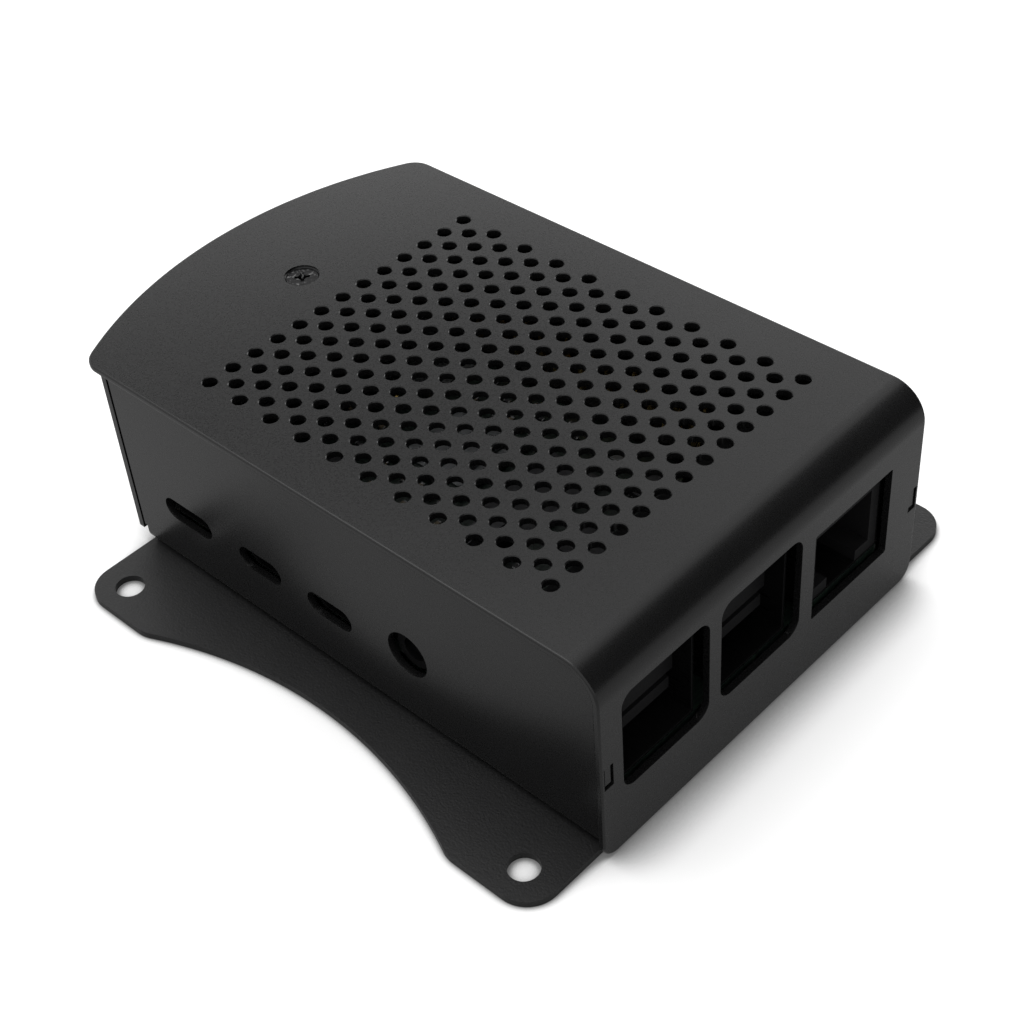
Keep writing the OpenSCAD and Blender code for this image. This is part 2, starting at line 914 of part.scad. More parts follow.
module audio_body() {
    color(port_black)
        translate([board_rear + audio_at, socket_face + audio_barrel_len, board_top])
            difference() {
                translate([-audio_w / 2, 0, 0]) cube([audio_w, audio_depth, audio_w]);
                translate([0, -over, audio_w / 2]) rotate([-90, 0, 0])
                    cylinder(d = audio_bore_d, h = audio_depth);
            }
}

module audio_barrel() {
    color(port_metal)
        translate([board_rear + audio_at, socket_face, board_top + audio_w / 2])
            rotate([-90, 0, 0])
                difference() {
                    cylinder(d = audio_barrel_d, h = audio_barrel_len);
                    translate([0, 0, -over]) cylinder(d = audio_bore_d, h = audio_barrel_len + 2 * over);
                }
}

// Headers

// Repeats a shape at each pin of a header with two rows
module at_pins(cols) {
    for (i = [0 : cols - 1], j = [0, 1])
        translate([(i - (cols - 1) / 2) * pin_pitch, (j - 0.5) * pin_pitch, 0]) children();
}

module header_base(cols) {
    hole = pin_w + 2 * pin_play;
    color(port_black)
        linear_extrude(header_h)
            difference() {
                square([cols * pin_pitch, 2 * pin_pitch], center = true);
                at_pins(cols) square(hole, center = true);
            }
}

module header_pins(cols) {
    color(gold)
        at_pins(cols) block([pin_w, pin_w, pin_h]);
}

module pin_header_base() {
    on_board(header_at) header_base(header_cols);
}

module pin_header_pins() {
    on_board(header_at) header_pins(header_cols);
}

module small_header_base() {
    on_board(small_header_at) header_base(small_header_cols);
}

module small_header_pins() {
    on_board(small_header_at) header_pins(small_header_cols);
}

// Ribbon sockets

module ribbon_socket(at) {
    color(port_black)
        on_board(at)
            difference() {
                block([ribbon_d, ribbon_w, ribbon_h]);
                translate([0, 0, ribbon_h - ribbon_slot_depth])
                    block([ribbon_slot_d, ribbon_slot_w, ribbon_slot_depth + over]);
            }
}

module ribbon_latch(at) {
    color("#3f4044")
        on_board(at)
            translate([0, 0, ribbon_h + latch_gap]) {
                difference() {
                    block([ribbon_d, ribbon_w, latch_h]);
                    translate([ribbon_slot_d / 2, -latch_tongue_w / 2, -over])
                        cube([ribbon_d, latch_tongue_w, latch_h + 2 * over]);
                }
                translate([-latch_tongue_d / 2, -latch_tongue_w / 2, -latch_tongue_h])
                    cube([latch_tongue_d, latch_tongue_w, latch_tongue_h + latch_h]);
            }
}

module display_socket() {
    ribbon_socket(display_at);
}

module display_latch() {
    ribbon_latch(display_at);
}

module camera_socket() {
    ribbon_socket(camera_at);
}

module camera_latch() {
    ribbon_latch(camera_at);
}

// Memory card

module card_socket() {
    color(bright_metal)
        translate([board_rear + card_socket_from, board_near + board_w / 2, board_under - card_socket_h])
            difference() {
                translate([0, -card_socket_w / 2, 0]) cube([card_socket_len, card_socket_w, card_socket_h]);
                translate([-over, -card_w / 2 - card_play, card_socket_wall])
                    cube([
                        card_socket_len - card_socket_wall + over,
                        card_w + 2 * card_play,
                        card_t + 2 * card_play
                    ]);
            }
}

module memory_card() {
    z = board_under - card_socket_wall - card_play - card_t;
    color(port_black)
        translate([board_rear - card_stick_out, board_near + board_w / 2, z])
            linear_extrude(card_t)
                translate([card_len / 2, 0]) rounded_rect(card_len, card_w, card_corner_r);
}

mounting_plate();
base_tray();
top_cover();
cover_screw();
cover_nut();
board_standoffs();
board_screws();
circuit_board();
processor();
heat_spreader();
memory_chip();
power_chip();
port_controller();
network_controller();
wireless_shield();
near_data_shell();
near_data_insert();
far_data_shell();
far_data_insert();
network_shell();
network_insert();
network_contacts();
power_shell();
power_tongue();
rear_video_shell();
rear_video_tongue();
front_video_shell();
front_video_tongue();
audio_body();
audio_barrel();
pin_header_base();
pin_header_pins();
small_header_base();
small_header_pins();
display_socket();
display_latch();
camera_socket();
camera_latch();
card_socket();
memory_card();
power_lamp();
activity_lamp();
crystals();
inductors();
capacitors();
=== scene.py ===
import math

import bmesh
import bpy
from mathutils import Matrix, Vector


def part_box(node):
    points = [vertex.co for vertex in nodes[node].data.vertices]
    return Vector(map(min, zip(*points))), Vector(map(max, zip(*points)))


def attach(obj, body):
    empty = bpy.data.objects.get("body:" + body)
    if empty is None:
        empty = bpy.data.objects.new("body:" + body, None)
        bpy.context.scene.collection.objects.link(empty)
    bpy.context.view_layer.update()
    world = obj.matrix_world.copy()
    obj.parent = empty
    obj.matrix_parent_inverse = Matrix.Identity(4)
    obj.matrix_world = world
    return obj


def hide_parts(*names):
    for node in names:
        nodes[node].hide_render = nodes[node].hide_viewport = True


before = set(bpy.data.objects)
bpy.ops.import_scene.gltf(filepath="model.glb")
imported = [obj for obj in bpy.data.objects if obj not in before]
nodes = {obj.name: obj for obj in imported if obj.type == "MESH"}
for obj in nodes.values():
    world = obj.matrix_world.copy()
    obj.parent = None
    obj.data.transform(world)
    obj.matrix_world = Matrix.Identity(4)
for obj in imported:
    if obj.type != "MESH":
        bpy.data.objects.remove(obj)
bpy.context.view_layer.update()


# Sizes in millimetres, on the axes of the solids: X to the port panel, -Y to the side sockets, Z up.
# Places and outside sizes come from the frame. What the frame's boxes don't tell is named here.

def corners(node):
    """A node's lowest and highest corners."""
    return [[round(1000 * value, 4) for value in corner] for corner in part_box(node)]


def middle(node):
    return [(a + b) / 2 for a, b in zip(*corners(node))]


plate_high = corners("mounting_plate")[1]
tray_low, tray_high = corners("base_tray")
cover_low, cover_high = corners("top_cover")
board_low, board_high = corners("circuit_board")

# How finely shapes are made
MERGE = 1e-4
FLAT_DEGREES = 0.5
SHARP_DEGREES = 28
ARC_STEPS_PER_DEGREE = 0.06
ARC_STEPS_PER_DEGREE_MM = 0.012

# How far a square's corners reach, for half its side
SQUARE = math.sqrt(2)

# Sheet metal
SHEET = plate_high[2]
CUTTER_SPARE = 5.0
DRILL_LENGTH = 5.0
LAP = 0.5

PLATE_FRONT = plate_high[0]
PLATE_HALF = plate_high[1]
PLATE_EDGE = 0.22
EAR_CORNER = 4.5
EAR_HOLE_R = 2.1
EAR_HOLE_INSET = (5.2, 4.6)
EAR_HOLE_X = PLATE_FRONT - EAR_HOLE_INSET[0]
EAR_HOLE_Y = PLATE_HALF - EAR_HOLE_INSET[1]
EAR_HOLES = [(x, y) for x in (-EAR_HOLE_X, EAR_HOLE_X) for y in (-EAR_HOLE_Y, EAR_HOLE_Y)]
SCALLOP_HALF = 29.0
SCALLOP_DEPTH = 6.6
SCALLOP_EASE = 0.9

TRAY_FRONT = PLATE_FRONT
TRAY_REAR = tray_low[0]
TRAY_HALF = tray_high[1]
WALL_TOP = tray_high[2]
WALL_MIDDLE = TRAY_HALF - SHEET / 2
TRAY_BEND = 2.0
TRAY_EDGE = 0.12
FOLD_RELIEF = 0.5
TAB_FRONT = tray_high[0]
TAB_LOW = 13.3
TAB_HIGH = 16.3
BRACKET_HALF = 8.0
BRACKET_BEND = 1.8
BRACKET_RELIEF = 0.8
BRACKET_REACH = 4.0
NOTCH_R = 1.45
POWER_SLOT = 9.8
VIDEO_SLOT = 8.3
SLOT_HEIGHT = 3.6
AUDIO_HOLE_R = 3.4
CARD_WINDOW = (16.0, 8.5)
CARD_WINDOW_LOW = 4.6
CARD_WINDOW_CORNER = 1.5

TOP = cover_high[2]
PANEL = cover_high[0]
PANEL_FOOT = cover_low[2]
COVER_HALF = cover_high[1]
COVER_REAR = cover_low[0]
COVER_BEND = 5.2
COVER_EDGE = 0.3
BEND_GAP = 0.3
PANEL_CORNER = 2.5
BOW_R = 62.0
REAR_CORNER = 3.5
OPENING_EDGE = 0.14
TAB_SLOT_WIDTH = 1.6
TAB_SLOT_BELOW = 0.5
TAB_SLOT_ABOVE = 0.2
VENT_R = 1.05
VENT_PITCH = (6.0, 4.0)
VENT_COUNT = (11, 13)
VENT_MIDDLE_X = 0.4

SCREW_X = middle("cover_nut")[0]
SCREW_SINK = 0.28
SCREW_TOP = TOP - SCREW_SINK
SCREW_TIP = corners("cover_screw")[0][2]
SCREW_HEAD_R = 2.3
SCREW_SEAT_R = 2.5
SCREW_CONE = 1.2
SEAT_CONE_R = 1.35
SEAT_PROUD = 0.1
SEAT_FLARE = 0.05
SCREW_TURN = 50
THREAD_R = 1.25
NECK_R = 1.2

# Board
BOARD_LOW = board_low[2]
BOARD_TOP = board_high[2]
BOARD_CORNER = 3.0
HOLE_R = 1.35
HOLE_INSET = 3.5
HOLE_PITCH = (58.0, 49.0)
BOARD_HOLES = [(board_low[0] + HOLE_INSET + i * HOLE_PITCH[0], board_low[1] + HOLE_INSET + j * HOLE_PITCH[1])
               for i in (0, 1) for j in (0, 1)]
RIVET_R = 1.7
RIVET_PLAY = 0.03
RIVET_HOLE_R = RIVET_R + RIVET_PLAY
PIN_PITCH = 2.54


# Solids

def moved(bm, x, y, z=0):
    bmesh.ops.translate(bm, vec=(x, y, z), verts=bm.verts)
    return bm


def swung(bm, degrees):
    """Turns a shape round the upright axis through the origin."""
    turn = Matrix.Rotation(math.radians(degrees), 3, "Z")
    bmesh.ops.rotate(bm, cent=(0, 0, 0), matrix=turn, verts=bm.verts)
    return bm


def bevelled(bm, edges, width, segments, clamp=False):
    bmesh.ops.bevel(bm, geom=edges, offset=width, offset_type="OFFSET", affect="EDGES",
                    segments=segments, profile=0.5, material=-1, clamp_overlap=clamp)
    return bm


def slab(low, high):
    bm = bmesh.new()
    bmesh.ops.create_cube(bm, size=1)
    bmesh.ops.scale(bm, vec=[b - a for a, b in zip(low, high)], verts=bm.verts)
    return moved(bm, *[(a + b) / 2 for a, b in zip(low, high)])


def rounded_slab(low, high, axis, radius, segments=8):
    """A slab whose edges along one axis are rounded."""
    bm = slab(low, high)
    run = "xyz".index(axis)
    edges = [e for e in bm.edges if abs((e.verts[0].co - e.verts[1].co)[run]) > MERGE]
    return bevelled(bm, edges, radius, segments)


def drum(centre, axis, length, radius, end_radius=None, segments=48):
    """A round bar, or a cone where the radius at its end differs."""
    bm = bmesh.new()
    bmesh.ops.create_cone(bm, cap_ends=True, segments=segments, radius1=radius,
                          radius2=radius if end_radius is None else end_radius, depth=length)
    turn = {"y": Matrix.Rotation(-math.pi / 2, 4, "X"), "z": Matrix.Identity(4)}[axis]
    bmesh.ops.transform(bm, matrix=Matrix.Translation(centre) @ turn, verts=bm.verts)
    return bm


def drills(places, height, radius):
    """Upright drills at a list of places, ready to cut a sheet that lies at a height."""
    return [drum((x, y, height), "z", DRILL_LENGTH, radius) for x, y in places]


def drawn(start, steps, axis, low, high):
    """Follows lines and arcs round an outline, fills it and pulls it along an axis."""
    bm = bmesh.new()
    tip = bm.verts.new((*start, 0))
    for kind, *rest in steps:
        if kind == "line":
            tip = bmesh.ops.extrude_vert_indiv(bm, verts=[tip])["verts"][0]
            tip.co = (*rest, 0)
        else:
            x, y, degrees = rest
            reach = math.hypot(tip.co.x - x, tip.co.y - y)
            fineness = ARC_STEPS_PER_DEGREE + ARC_STEPS_PER_DEGREE_MM * reach
            count = max(4, round(abs(degrees) * fineness))
            swept = bmesh.ops.spin(bm, geom=[tip], cent=(x, y, 0), axis=(0, 0, 1),
                                   angle=math.radians(degrees), steps=count)
            tip = next(g for g in swept["geom_last"] if isinstance(g, bmesh.types.BMVert))
    bmesh.ops.remove_doubles(bm, verts=bm.verts, dist=MERGE)
    face = bmesh.ops.contextual_create(bm, geom=bm.edges)["faces"]
    pulled = bmesh.ops.extrude_face_region(bm, geom=face)["geom"]
    far_end = [g for g in pulled if isinstance(g, bmesh.types.BMVert)]
    bmesh.ops.translate(bm, vec=(0, 0, high - low), verts=far_end)
    moved(bm, 0, 0, low)
    rows = {
        "x": ((0, 0, 1), (1, 0, 0), (0, 1, 0)),
        "y": ((1, 0, 0), (0, 0, 1), (0, 1, 0)),
        "z": ((1, 0, 0), (0, 1, 0), (0, 0, 1)),
    }[axis]
    bmesh.ops.transform(bm, matrix=Matrix(rows).to_4x4(), verts=bm.verts)
    bmesh.ops.recalc_face_normals(bm, faces=bm.faces)
    return bm


def turned(outline, steps=36):
    """Turns an outline of (radius, height) points round the upright axis."""
    bm = bmesh.new()
    tip = bm.verts.new((outline[0][0], 0, outline[0][1]))
    for radius, height in outline[1:]:
        tip = bmesh.ops.extrude_vert_indiv(bm, verts=[tip])["verts"][0]
        tip.co = (radius, 0, height)
    bmesh.ops.spin(bm, geom=bm.verts[:] + bm.edges[:], cent=(0, 0, 0), axis=(0, 0, 1),
                   angle=math.tau, steps=steps, use_merge=True)
    bmesh.ops.remove_doubles(bm, verts=bm.verts, dist=MERGE)
    bmesh.ops.recalc_face_normals(bm, faces=bm.faces)
    return bm


def together(*solids):
    whole = bmesh.new()
    for bm in solids:
        mesh = bpy.data.meshes.new("part")
        bm.to_mesh(mesh)
        bm.free()
        whole.from_mesh(mesh)
        bpy.data.meshes.remove(mesh)
    return whole


def linked(name, bm):
    """Makes a shape an object of the scene."""
    mesh = bpy.data.meshes.new(name)
    bm.to_mesh(mesh)
    bm.free()
    obj = bpy.data.objects.new(name, mesh)
    bpy.context.scene.collection.objects.link(obj)
    return obj


def carve(blank, tool, how="DIFFERENCE"):
    """Cuts a tool from a blank, adds it or keeps what both share."""
    pair = [linked("blank", blank), linked("tool", tool)]
    change = pair[0].modifiers.new("carve", "BOOLEAN")
    change.operation = how
    change.object = pair[1]
    change.solver = "MANIFOLD"
    shape = bmesh.new()
    shape.from_object(pair[0], bpy.context.evaluated_depsgraph_get())
    for obj in pair:
        mesh = obj.data
        bpy.data.objects.remove(obj)
        bpy.data.meshes.remove(mesh)
    bmesh.ops.remove_doubles(shape, verts=shape.verts, dist=MERGE)
    bmesh.ops.dissolve_limit(shape, angle_limit=math.radians(FLAT_DEGREES),
                             verts=shape.verts, edges=shape.edges)
    return shape


def break_edges(bm, width, segments=2):
    """Eases every sharp edge of a shape."""
    edges = [e for e in bm.edges if e.is_manifold and e.calc_face_angle() > math.radians(SHARP_DEGREES)]
    return bevelled(bm, edges, width, segments, clamp=True)


def piece(name, bm, finish, body, slot, *stands_for, sharp=50):
    """A finished piece: in metres, smooth but for its sharp edges, with its finish and body; its slot is not
    used.
    """
    bmesh.ops.scale(bm, vec=(0.001,) * 3, verts=bm.verts)
    for face in bm.faces:
        face.smooth = True
    obj = linked(name, bm)
    obj.data.set_sharp_from_angle(angle=math.radians(sharp))
    obj.data.materials.append(finish)
    normals = obj.modifiers.new("flats", "WEIGHTED_NORMAL")
    normals.keep_sharp = True
    normals.weight = 90
    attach(obj, body)
    if stands_for:
        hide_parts(*stands_for)


# Finishes

def feed(tree, node, inputs):
    """Gives a node's inputs their values, or links them to other nodes' outputs."""
    for name, value in inputs.items():
        if isinstance(value, bpy.types.NodeSocket):
            tree.links.new(value, node.inputs[name])
        else:
            node.inputs[name].default_value = value


def new_finish(name):
    mat = bpy.data.materials.new(name)
    mat.use_nodes = True
    tree = mat.node_tree
    shader = tree.nodes["Principled BSDF"]
    place = tree.nodes.new("ShaderNodeTexCoord").outputs["Object"]
    return mat, tree, shader, place


def speckle(tree, place, size_mm, detail=2.0):
    node = tree.nodes.new("ShaderNodeTexNoise")
    feed(tree, node, {"Vector": place, "Scale": 1000 / size_mm, "Detail": detail})
    return node.outputs["Fac"]


def between(tree, share, low, high, start=0.3, end=0.7):
    """Goes from a low to a high value while a share goes from start to end."""
    node = tree.nodes.new("ShaderNodeMapRange")
    feed(tree, node, {"Value": share, "From Min": start, "From Max": end, "To Min": low, "To Max": high})
    return node.outputs["Result"]


def two_tone(tree, share, first, second):
    """A colour that goes from one tone to another with a share."""
    node = tree.nodes.new("ShaderNodeMix")
    node.data_type = "RGBA"
    feed(tree, node, {"Factor": share, "A": (*first, 1), "B": (*second, 1)})
    return node.outputs["Result"]


def relief(tree, height, depth_mm, strength=1.0):
    node = tree.nodes.new("ShaderNodeBump")
    feed(tree, node, {"Height": height, "Distance": depth_mm / 1000, "Strength": strength})
    return node.outputs["Normal"]


def sums(tree, kind, first, second=0):
    """One step of arithmetic between two node outputs or numbers."""
    node = tree.nodes.new("ShaderNodeMath")
    node.operation = kind
    feed(tree, node, {0: first, 1: second})
    return node.outputs[0]


def coat(name, dark, light, grain_mm, depth_mm, smooth, rough, metal=0.0, ior=1.5):
    """A coat, moulding or plating: two close tones in broad clouds, and a fine grain in gloss and relief."""
    clouds_to_grain = 40
    mat, tree, shader, place = new_finish(name)
    fine = speckle(tree, place, grain_mm)
    broad = speckle(tree, place, grain_mm * clouds_to_grain, detail=3.0)
    feed(tree, shader, {
        "Base Color": two_tone(tree, between(tree, broad, 0, 1), dark, light),
        "Roughness": between(tree, fine, smooth, rough),
        "Normal": relief(tree, fine, depth_mm),
        "Metallic": metal,
        "IOR": ior,
    })
    return mat


def brushed(name, dark, light, along, smooth, rough, edge=1.0):
    """Rolled or drawn metal: fine lines along one axis in colour and relief, and broad clouds in gloss."""
    line_mm, line_stretch, cloud_mm, depth_mm = 0.12, 0.06, 6, 0.003
    mat, tree, shader, place = new_finish(name)
    stretch = tree.nodes.new("ShaderNodeMapping")
    feed(tree, stretch, {"Vector": place, "Scale": [line_stretch if axis == along else 1 for axis in "xyz"]})
    lines = speckle(tree, stretch.outputs["Vector"], line_mm, detail=3.0)
    cloud = speckle(tree, place, cloud_mm, detail=3.0)
    feed(tree, shader, {
        "Base Color": two_tone(tree, between(tree, lines, 0, 1), dark, light),
        "Roughness": between(tree, cloud, smooth, rough),
        "Normal": relief(tree, lines, depth_mm),
        "Metallic": 1.0,
        "Specular Tint": (edge, edge, edge, 1),
    })
    return mat


def worn_plating(name):
    """Black plating, worn through to brighter metal in flecks."""
    plating, bare_metal = (0.011, 0.011, 0.0115), (0.12, 0.12, 0.12)
    fleck_mm, depth_mm = 0.5, 0.02
    mat, tree, shader, place = new_finish(name)
    fleck = speckle(tree, place, fleck_mm, detail=3.0)
    worn = between(tree, fleck, 0, 1, start=0.57, end=0.68)
    feed(tree, shader, {
        "Base Color": two_tone(tree, worn, plating, bare_metal),
        "Roughness": between(tree, fleck, low=0.30, high=0.44),
        "Normal": relief(tree, fleck, depth_mm),
        "Metallic": 1.0,
    })
    return mat


def cells(tree, place, size_mm, distance="EUCLIDEAN"):
    """Flat cells of about one size, for blocks and dots on the board."""
    node = tree.nodes.new("ShaderNodeTexVoronoi")
    node.distance = distance
    node.voronoi_dimensions = "2D"
    feed(tree, node, {"Vector": place, "Scale": 1000 / size_mm})
    return node.outputs


def tracked_mask(name):
    """Solder mask over copper: blocks of parallel tracks one way or the other, with filled holes between."""
    # Both greens are darkened nearly to black: painted shade for the board inside the closed box
    over_laminate, over_copper = (0.0045, 0.0085, 0.0065), (0.009, 0.019, 0.013)
    block_mm, bare_share = 6.5, 0.38
    track_pitch_mm, track_share = 0.62, 0.45
    hole_pitch_mm, hole_share = 2.4, 0.12
    grain_mm, copper_mm = 0.5, 0.03
    mat, tree, shader, place = new_finish(name)
    axes = tree.nodes.new("ShaderNodeSeparateXYZ")
    feed(tree, axes, {"Vector": place})
    chance = tree.nodes.new("ShaderNodeSeparateColor")
    feed(tree, chance, {"Color": cells(tree, place, block_mm, "CHEBYCHEV")["Color"]})
    across, along = [
        sums(tree, "LESS_THAN", sums(tree, "FRACT", sums(tree, "MULTIPLY", axes.outputs[axis],
                                                         1000 / track_pitch_mm)), track_share)
        for axis in "XY"]
    way = tree.nodes.new("ShaderNodeMix")
    lengthwise = sums(tree, "GREATER_THAN", chance.outputs["Red"], 0.5)
    feed(tree, way, {"Factor": lengthwise, "A": across, "B": along})
    routed = sums(tree, "GREATER_THAN", chance.outputs["Green"], bare_share)
    tracks = sums(tree, "MULTIPLY", way.outputs["Result"], routed)
    holes = sums(tree, "LESS_THAN", cells(tree, place, hole_pitch_mm)["Distance"], hole_share)
    copper = sums(tree, "MAXIMUM", tracks, holes)
    feed(tree, shader, {
        "Base Color": two_tone(tree, copper, over_laminate, over_copper),
        "Roughness": between(tree, speckle(tree, place, grain_mm), low=0.30, high=0.40),
        "Normal": relief(tree, copper, copper_mm, strength=0.6),
    })
    return mat


black_coat = coat(
    "black_powder_coat", dark=(0.0058, 0.0058, 0.0060), light=(0.0078, 0.0078, 0.0080),
    grain_mm=0.30, depth_mm=0.003, smooth=0.26, rough=0.31, ior=1.39)
textured_coat = coat(
    "textured_black_coat", dark=(0.0090, 0.0090, 0.0093), light=(0.0125, 0.0125, 0.0128),
    grain_mm=0.30, depth_mm=0.044, smooth=0.42, rough=0.56, ior=1.36)
black_screw_plating = worn_plating("black_screw_plating")
bright_steel = coat(
    "bright_steel", dark=(0.50, 0.51, 0.53), light=(0.60, 0.61, 0.63),
    grain_mm=0.15, depth_mm=0.003, smooth=0.25, rough=0.38, metal=1.0)
# Tin darkened well below bare solder: painted shade, so the small parts seen through the vents stay dark
shade_dark_tin = coat(
    "shade_dark_tin", dark=(0.20, 0.20, 0.205), light=(0.28, 0.28, 0.285),
    grain_mm=0.1, depth_mm=0.003, smooth=0.48, rough=0.62, metal=1.0)
turned_brass = coat(
    "turned_brass", dark=(0.62, 0.47, 0.22), light=(0.72, 0.56, 0.28),
    grain_mm=0.15, depth_mm=0.003, smooth=0.26, rough=0.38, metal=1.0)
gold_flash = coat(
    "gold_flash", dark=(0.72, 0.50, 0.18), light=(0.80, 0.58, 0.24),
    grain_mm=0.1, depth_mm=0.002, smooth=0.22, rough=0.32, metal=1.0)
# Port shells and the audio barrel darkened nearly to black: painted shade, so the box's openings read as dark
# inside
dark_nickel = brushed(
    "dark_nickel", dark=(0.014, 0.014, 0.0145), light=(0.022, 0.022, 0.0225),
    along="x", smooth=0.46, rough=0.58, edge=0.15)
dull_can = brushed(
    "dull_can", dark=(0.17, 0.175, 0.18), light=(0.23, 0.235, 0.24), along="y", smooth=0.38, rough=0.50)
moulded_black = coat(
    "moulded_black", dark=(0.008, 0.008, 0.0085), light=(0.011, 0.011, 0.0115),
    grain_mm=0.25, depth_mm=0.006, smooth=0.58, rough=0.70, ior=1.2)
chip_black = coat(
    "chip_black", dark=(0.016, 0.016, 0.018), light=(0.024, 0.024, 0.026),
    grain_mm=0.12, depth_mm=0.004, smooth=0.55, rough=0.68)
latch_grey = coat(
    "latch_grey", dark=(0.050, 0.050, 0.054), light=(0.065, 0.065, 0.070),
    grain_mm=0.25, depth_mm=0.004, smooth=0.45, rough=0.56)
card_black = coat(
    "card_black", dark=(0.016, 0.016, 0.018), light=(0.022, 0.022, 0.024),
    grain_mm=0.2, depth_mm=0.003, smooth=0.42, rough=0.52)
board_mask = tracked_mask("board_mask")
package_laminate = coat(
    "package_laminate", dark=(0.006, 0.013, 0.009), light=(0.009, 0.018, 0.013),
    grain_mm=0.4, depth_mm=0.004, smooth=0.34, rough=0.44)
fired_ceramic = coat(
    "fired_ceramic", dark=(0.11, 0.085, 0.055), light=(0.15, 0.12, 0.08),
    grain_mm=0.2, depth_mm=0.004, smooth=0.42, rough=0.55)
red_lens = coat(
    "red_lens", dark=(0.50, 0.025, 0.015), light=(0.60, 0.035, 0.025),
    grain_mm=0.3, depth_mm=0.002, smooth=0.16, rough=0.24)
green_lens = coat(
    "green_lens", dark=(0.025, 0.38, 0.07), light=(0.035, 0.46, 0.09),
    grain_mm=0.3, depth_mm=0.002, smooth=0.16, rough=0.24)


# Sheet metal

def mounting_plate():
    """A flat sheet with four ears, and a scalloped edge on both long sides."""
    reach, side, half = PLATE_FRONT, PLATE_HALF, SCALLOP_HALF
    scallop_r = (half ** 2 + SCALLOP_DEPTH ** 2) / (2 * SCALLOP_DEPTH)
    sweep = 2 * math.degrees(math.asin(half / scallop_r))
    scallop_y = side - SCALLOP_DEPTH + scallop_r
    corner_x, corner_y = reach - EAR_CORNER, side - EAR_CORNER
    sheet = drawn((-half, -side), [
        ("arc", 0, -scallop_y, -sweep),
        ("line", corner_x, -side), ("arc", corner_x, -corner_y, 90),
        ("line", reach, corner_y), ("arc", corner_x, corner_y, 90),
        ("line", half, side), ("arc", 0, scallop_y, -sweep),
        ("line", -corner_x, side), ("arc", -corner_x, corner_y, 90),
        ("line", -reach, -corner_y), ("arc", -corner_x, -corner_y, 90),
        ("line", -half, -side),
    ], "z", 0, SHEET)

    def at_scallop_end(vert):
        return max(abs(abs(vert.co.x) - half), abs(abs(vert.co.y) - side)) < 100 * MERGE

    ends = [e for e in sheet.edges if all(at_scallop_end(v) for v in e.verts)]
    bevelled(sheet, ends, SCALLOP_EASE, segments=4)
    holes = drills(EAR_HOLES, SHEET / 2, EAR_HOLE_R) + drills(BOARD_HOLES, SHEET / 2, RIVET_HOLE_R)
    return break_edges(carve(sheet, together(*holes)), PLATE_EDGE, segments=3)


def tray_channel():
    """The tray's floor and side walls, rounded at the front to follow the cover's bend."""
    half, inner, fold = TRAY_HALF, TRAY_HALF - SHEET, TRAY_HALF - TRAY_BEND
    low, floor_top = SHEET + TRAY_BEND, 2 * SHEET
    channel = drawn((-half, WALL_TOP), [
        ("line", -half, low), ("arc", -fold, low, 90),
        ("line", fold, SHEET), ("arc", fold, low, 90),
        ("line", half, WALL_TOP), ("line", inner, WALL_TOP),
        ("line", inner, low), ("arc", fold, low, -90),
        ("line", -fold, floor_top), ("arc", -fold, low, -90),
        ("line", -inner, WALL_TOP), ("line", -half, WALL_TOP),
    ], "x", TRAY_REAR + SHEET + FOLD_RELIEF, TRAY_FRONT)
    front_r = COVER_BEND - SHEET - BEND_GAP
    side_view = drawn((TRAY_REAR, 0), [
        ("line", TRAY_FRONT, 0), ("line", TRAY_FRONT, WALL_TOP - front_r),
        ("arc", TRAY_FRONT - front_r, WALL_TOP - front_r, 90),
        ("line", TRAY_REAR, WALL_TOP), ("line", TRAY_REAR, 0),
    ], "y", -half - CUTTER_SPARE, half + CUTTER_SPARE)
    channel = carve(channel, side_view, "INTERSECT")
    rear_fold = slab((TRAY_REAR - CUTTER_SPARE, -half - CUTTER_SPARE, -CUTTER_SPARE),
                     (TRAY_REAR + TRAY_BEND, half + CUTTER_SPARE, floor_top + TRAY_BEND))
    return carve(channel, rear_fold)


def tray_rear_parts():
    """The rear wall, the fold at its foot and the screw's bracket at its top."""
    low, floor_top = SHEET + TRAY_BEND, 2 * SHEET
    fold_x, fold_half = TRAY_REAR + TRAY_BEND, TRAY_HALF - TRAY_BEND - FOLD_RELIEF
    bend_x, bend_z = TRAY_REAR + BRACKET_BEND, WALL_TOP - BRACKET_BEND
    bracket_end, relief_half = SCREW_X + BRACKET_REACH, BRACKET_HALF + BRACKET_RELIEF
    wall = carve(slab((TRAY_REAR, -TRAY_HALF, low), (TRAY_REAR + SHEET, TRAY_HALF, WALL_TOP)),
                 slab((TRAY_REAR - CUTTER_SPARE, -relief_half, bend_z),
                      (TRAY_REAR + CUTTER_SPARE, relief_half, WALL_TOP + CUTTER_SPARE)))
    foot = drawn((TRAY_REAR, low), [
        ("arc", fold_x, low, 90),
        ("line", fold_x + LAP, SHEET), ("line", fold_x + LAP, floor_top),
        ("line", fold_x, floor_top), ("arc", fold_x, low, -90),
        ("line", TRAY_REAR, low),
    ], "y", -fold_half, fold_half)
    bracket = drawn((TRAY_REAR, bend_z - LAP), [
        ("line", TRAY_REAR, bend_z), ("arc", bend_x, bend_z, -90),
        ("line", bracket_end, WALL_TOP), ("line", bracket_end, WALL_TOP - SHEET),
        ("line", bend_x, WALL_TOP - SHEET), ("arc", bend_x, bend_z, 90),
        ("line", TRAY_REAR + SHEET, bend_z - LAP), ("line", TRAY_REAR, bend_z - LAP),
    ], "y", -BRACKET_HALF, BRACKET_HALF)
    return [wall, foot, bracket]


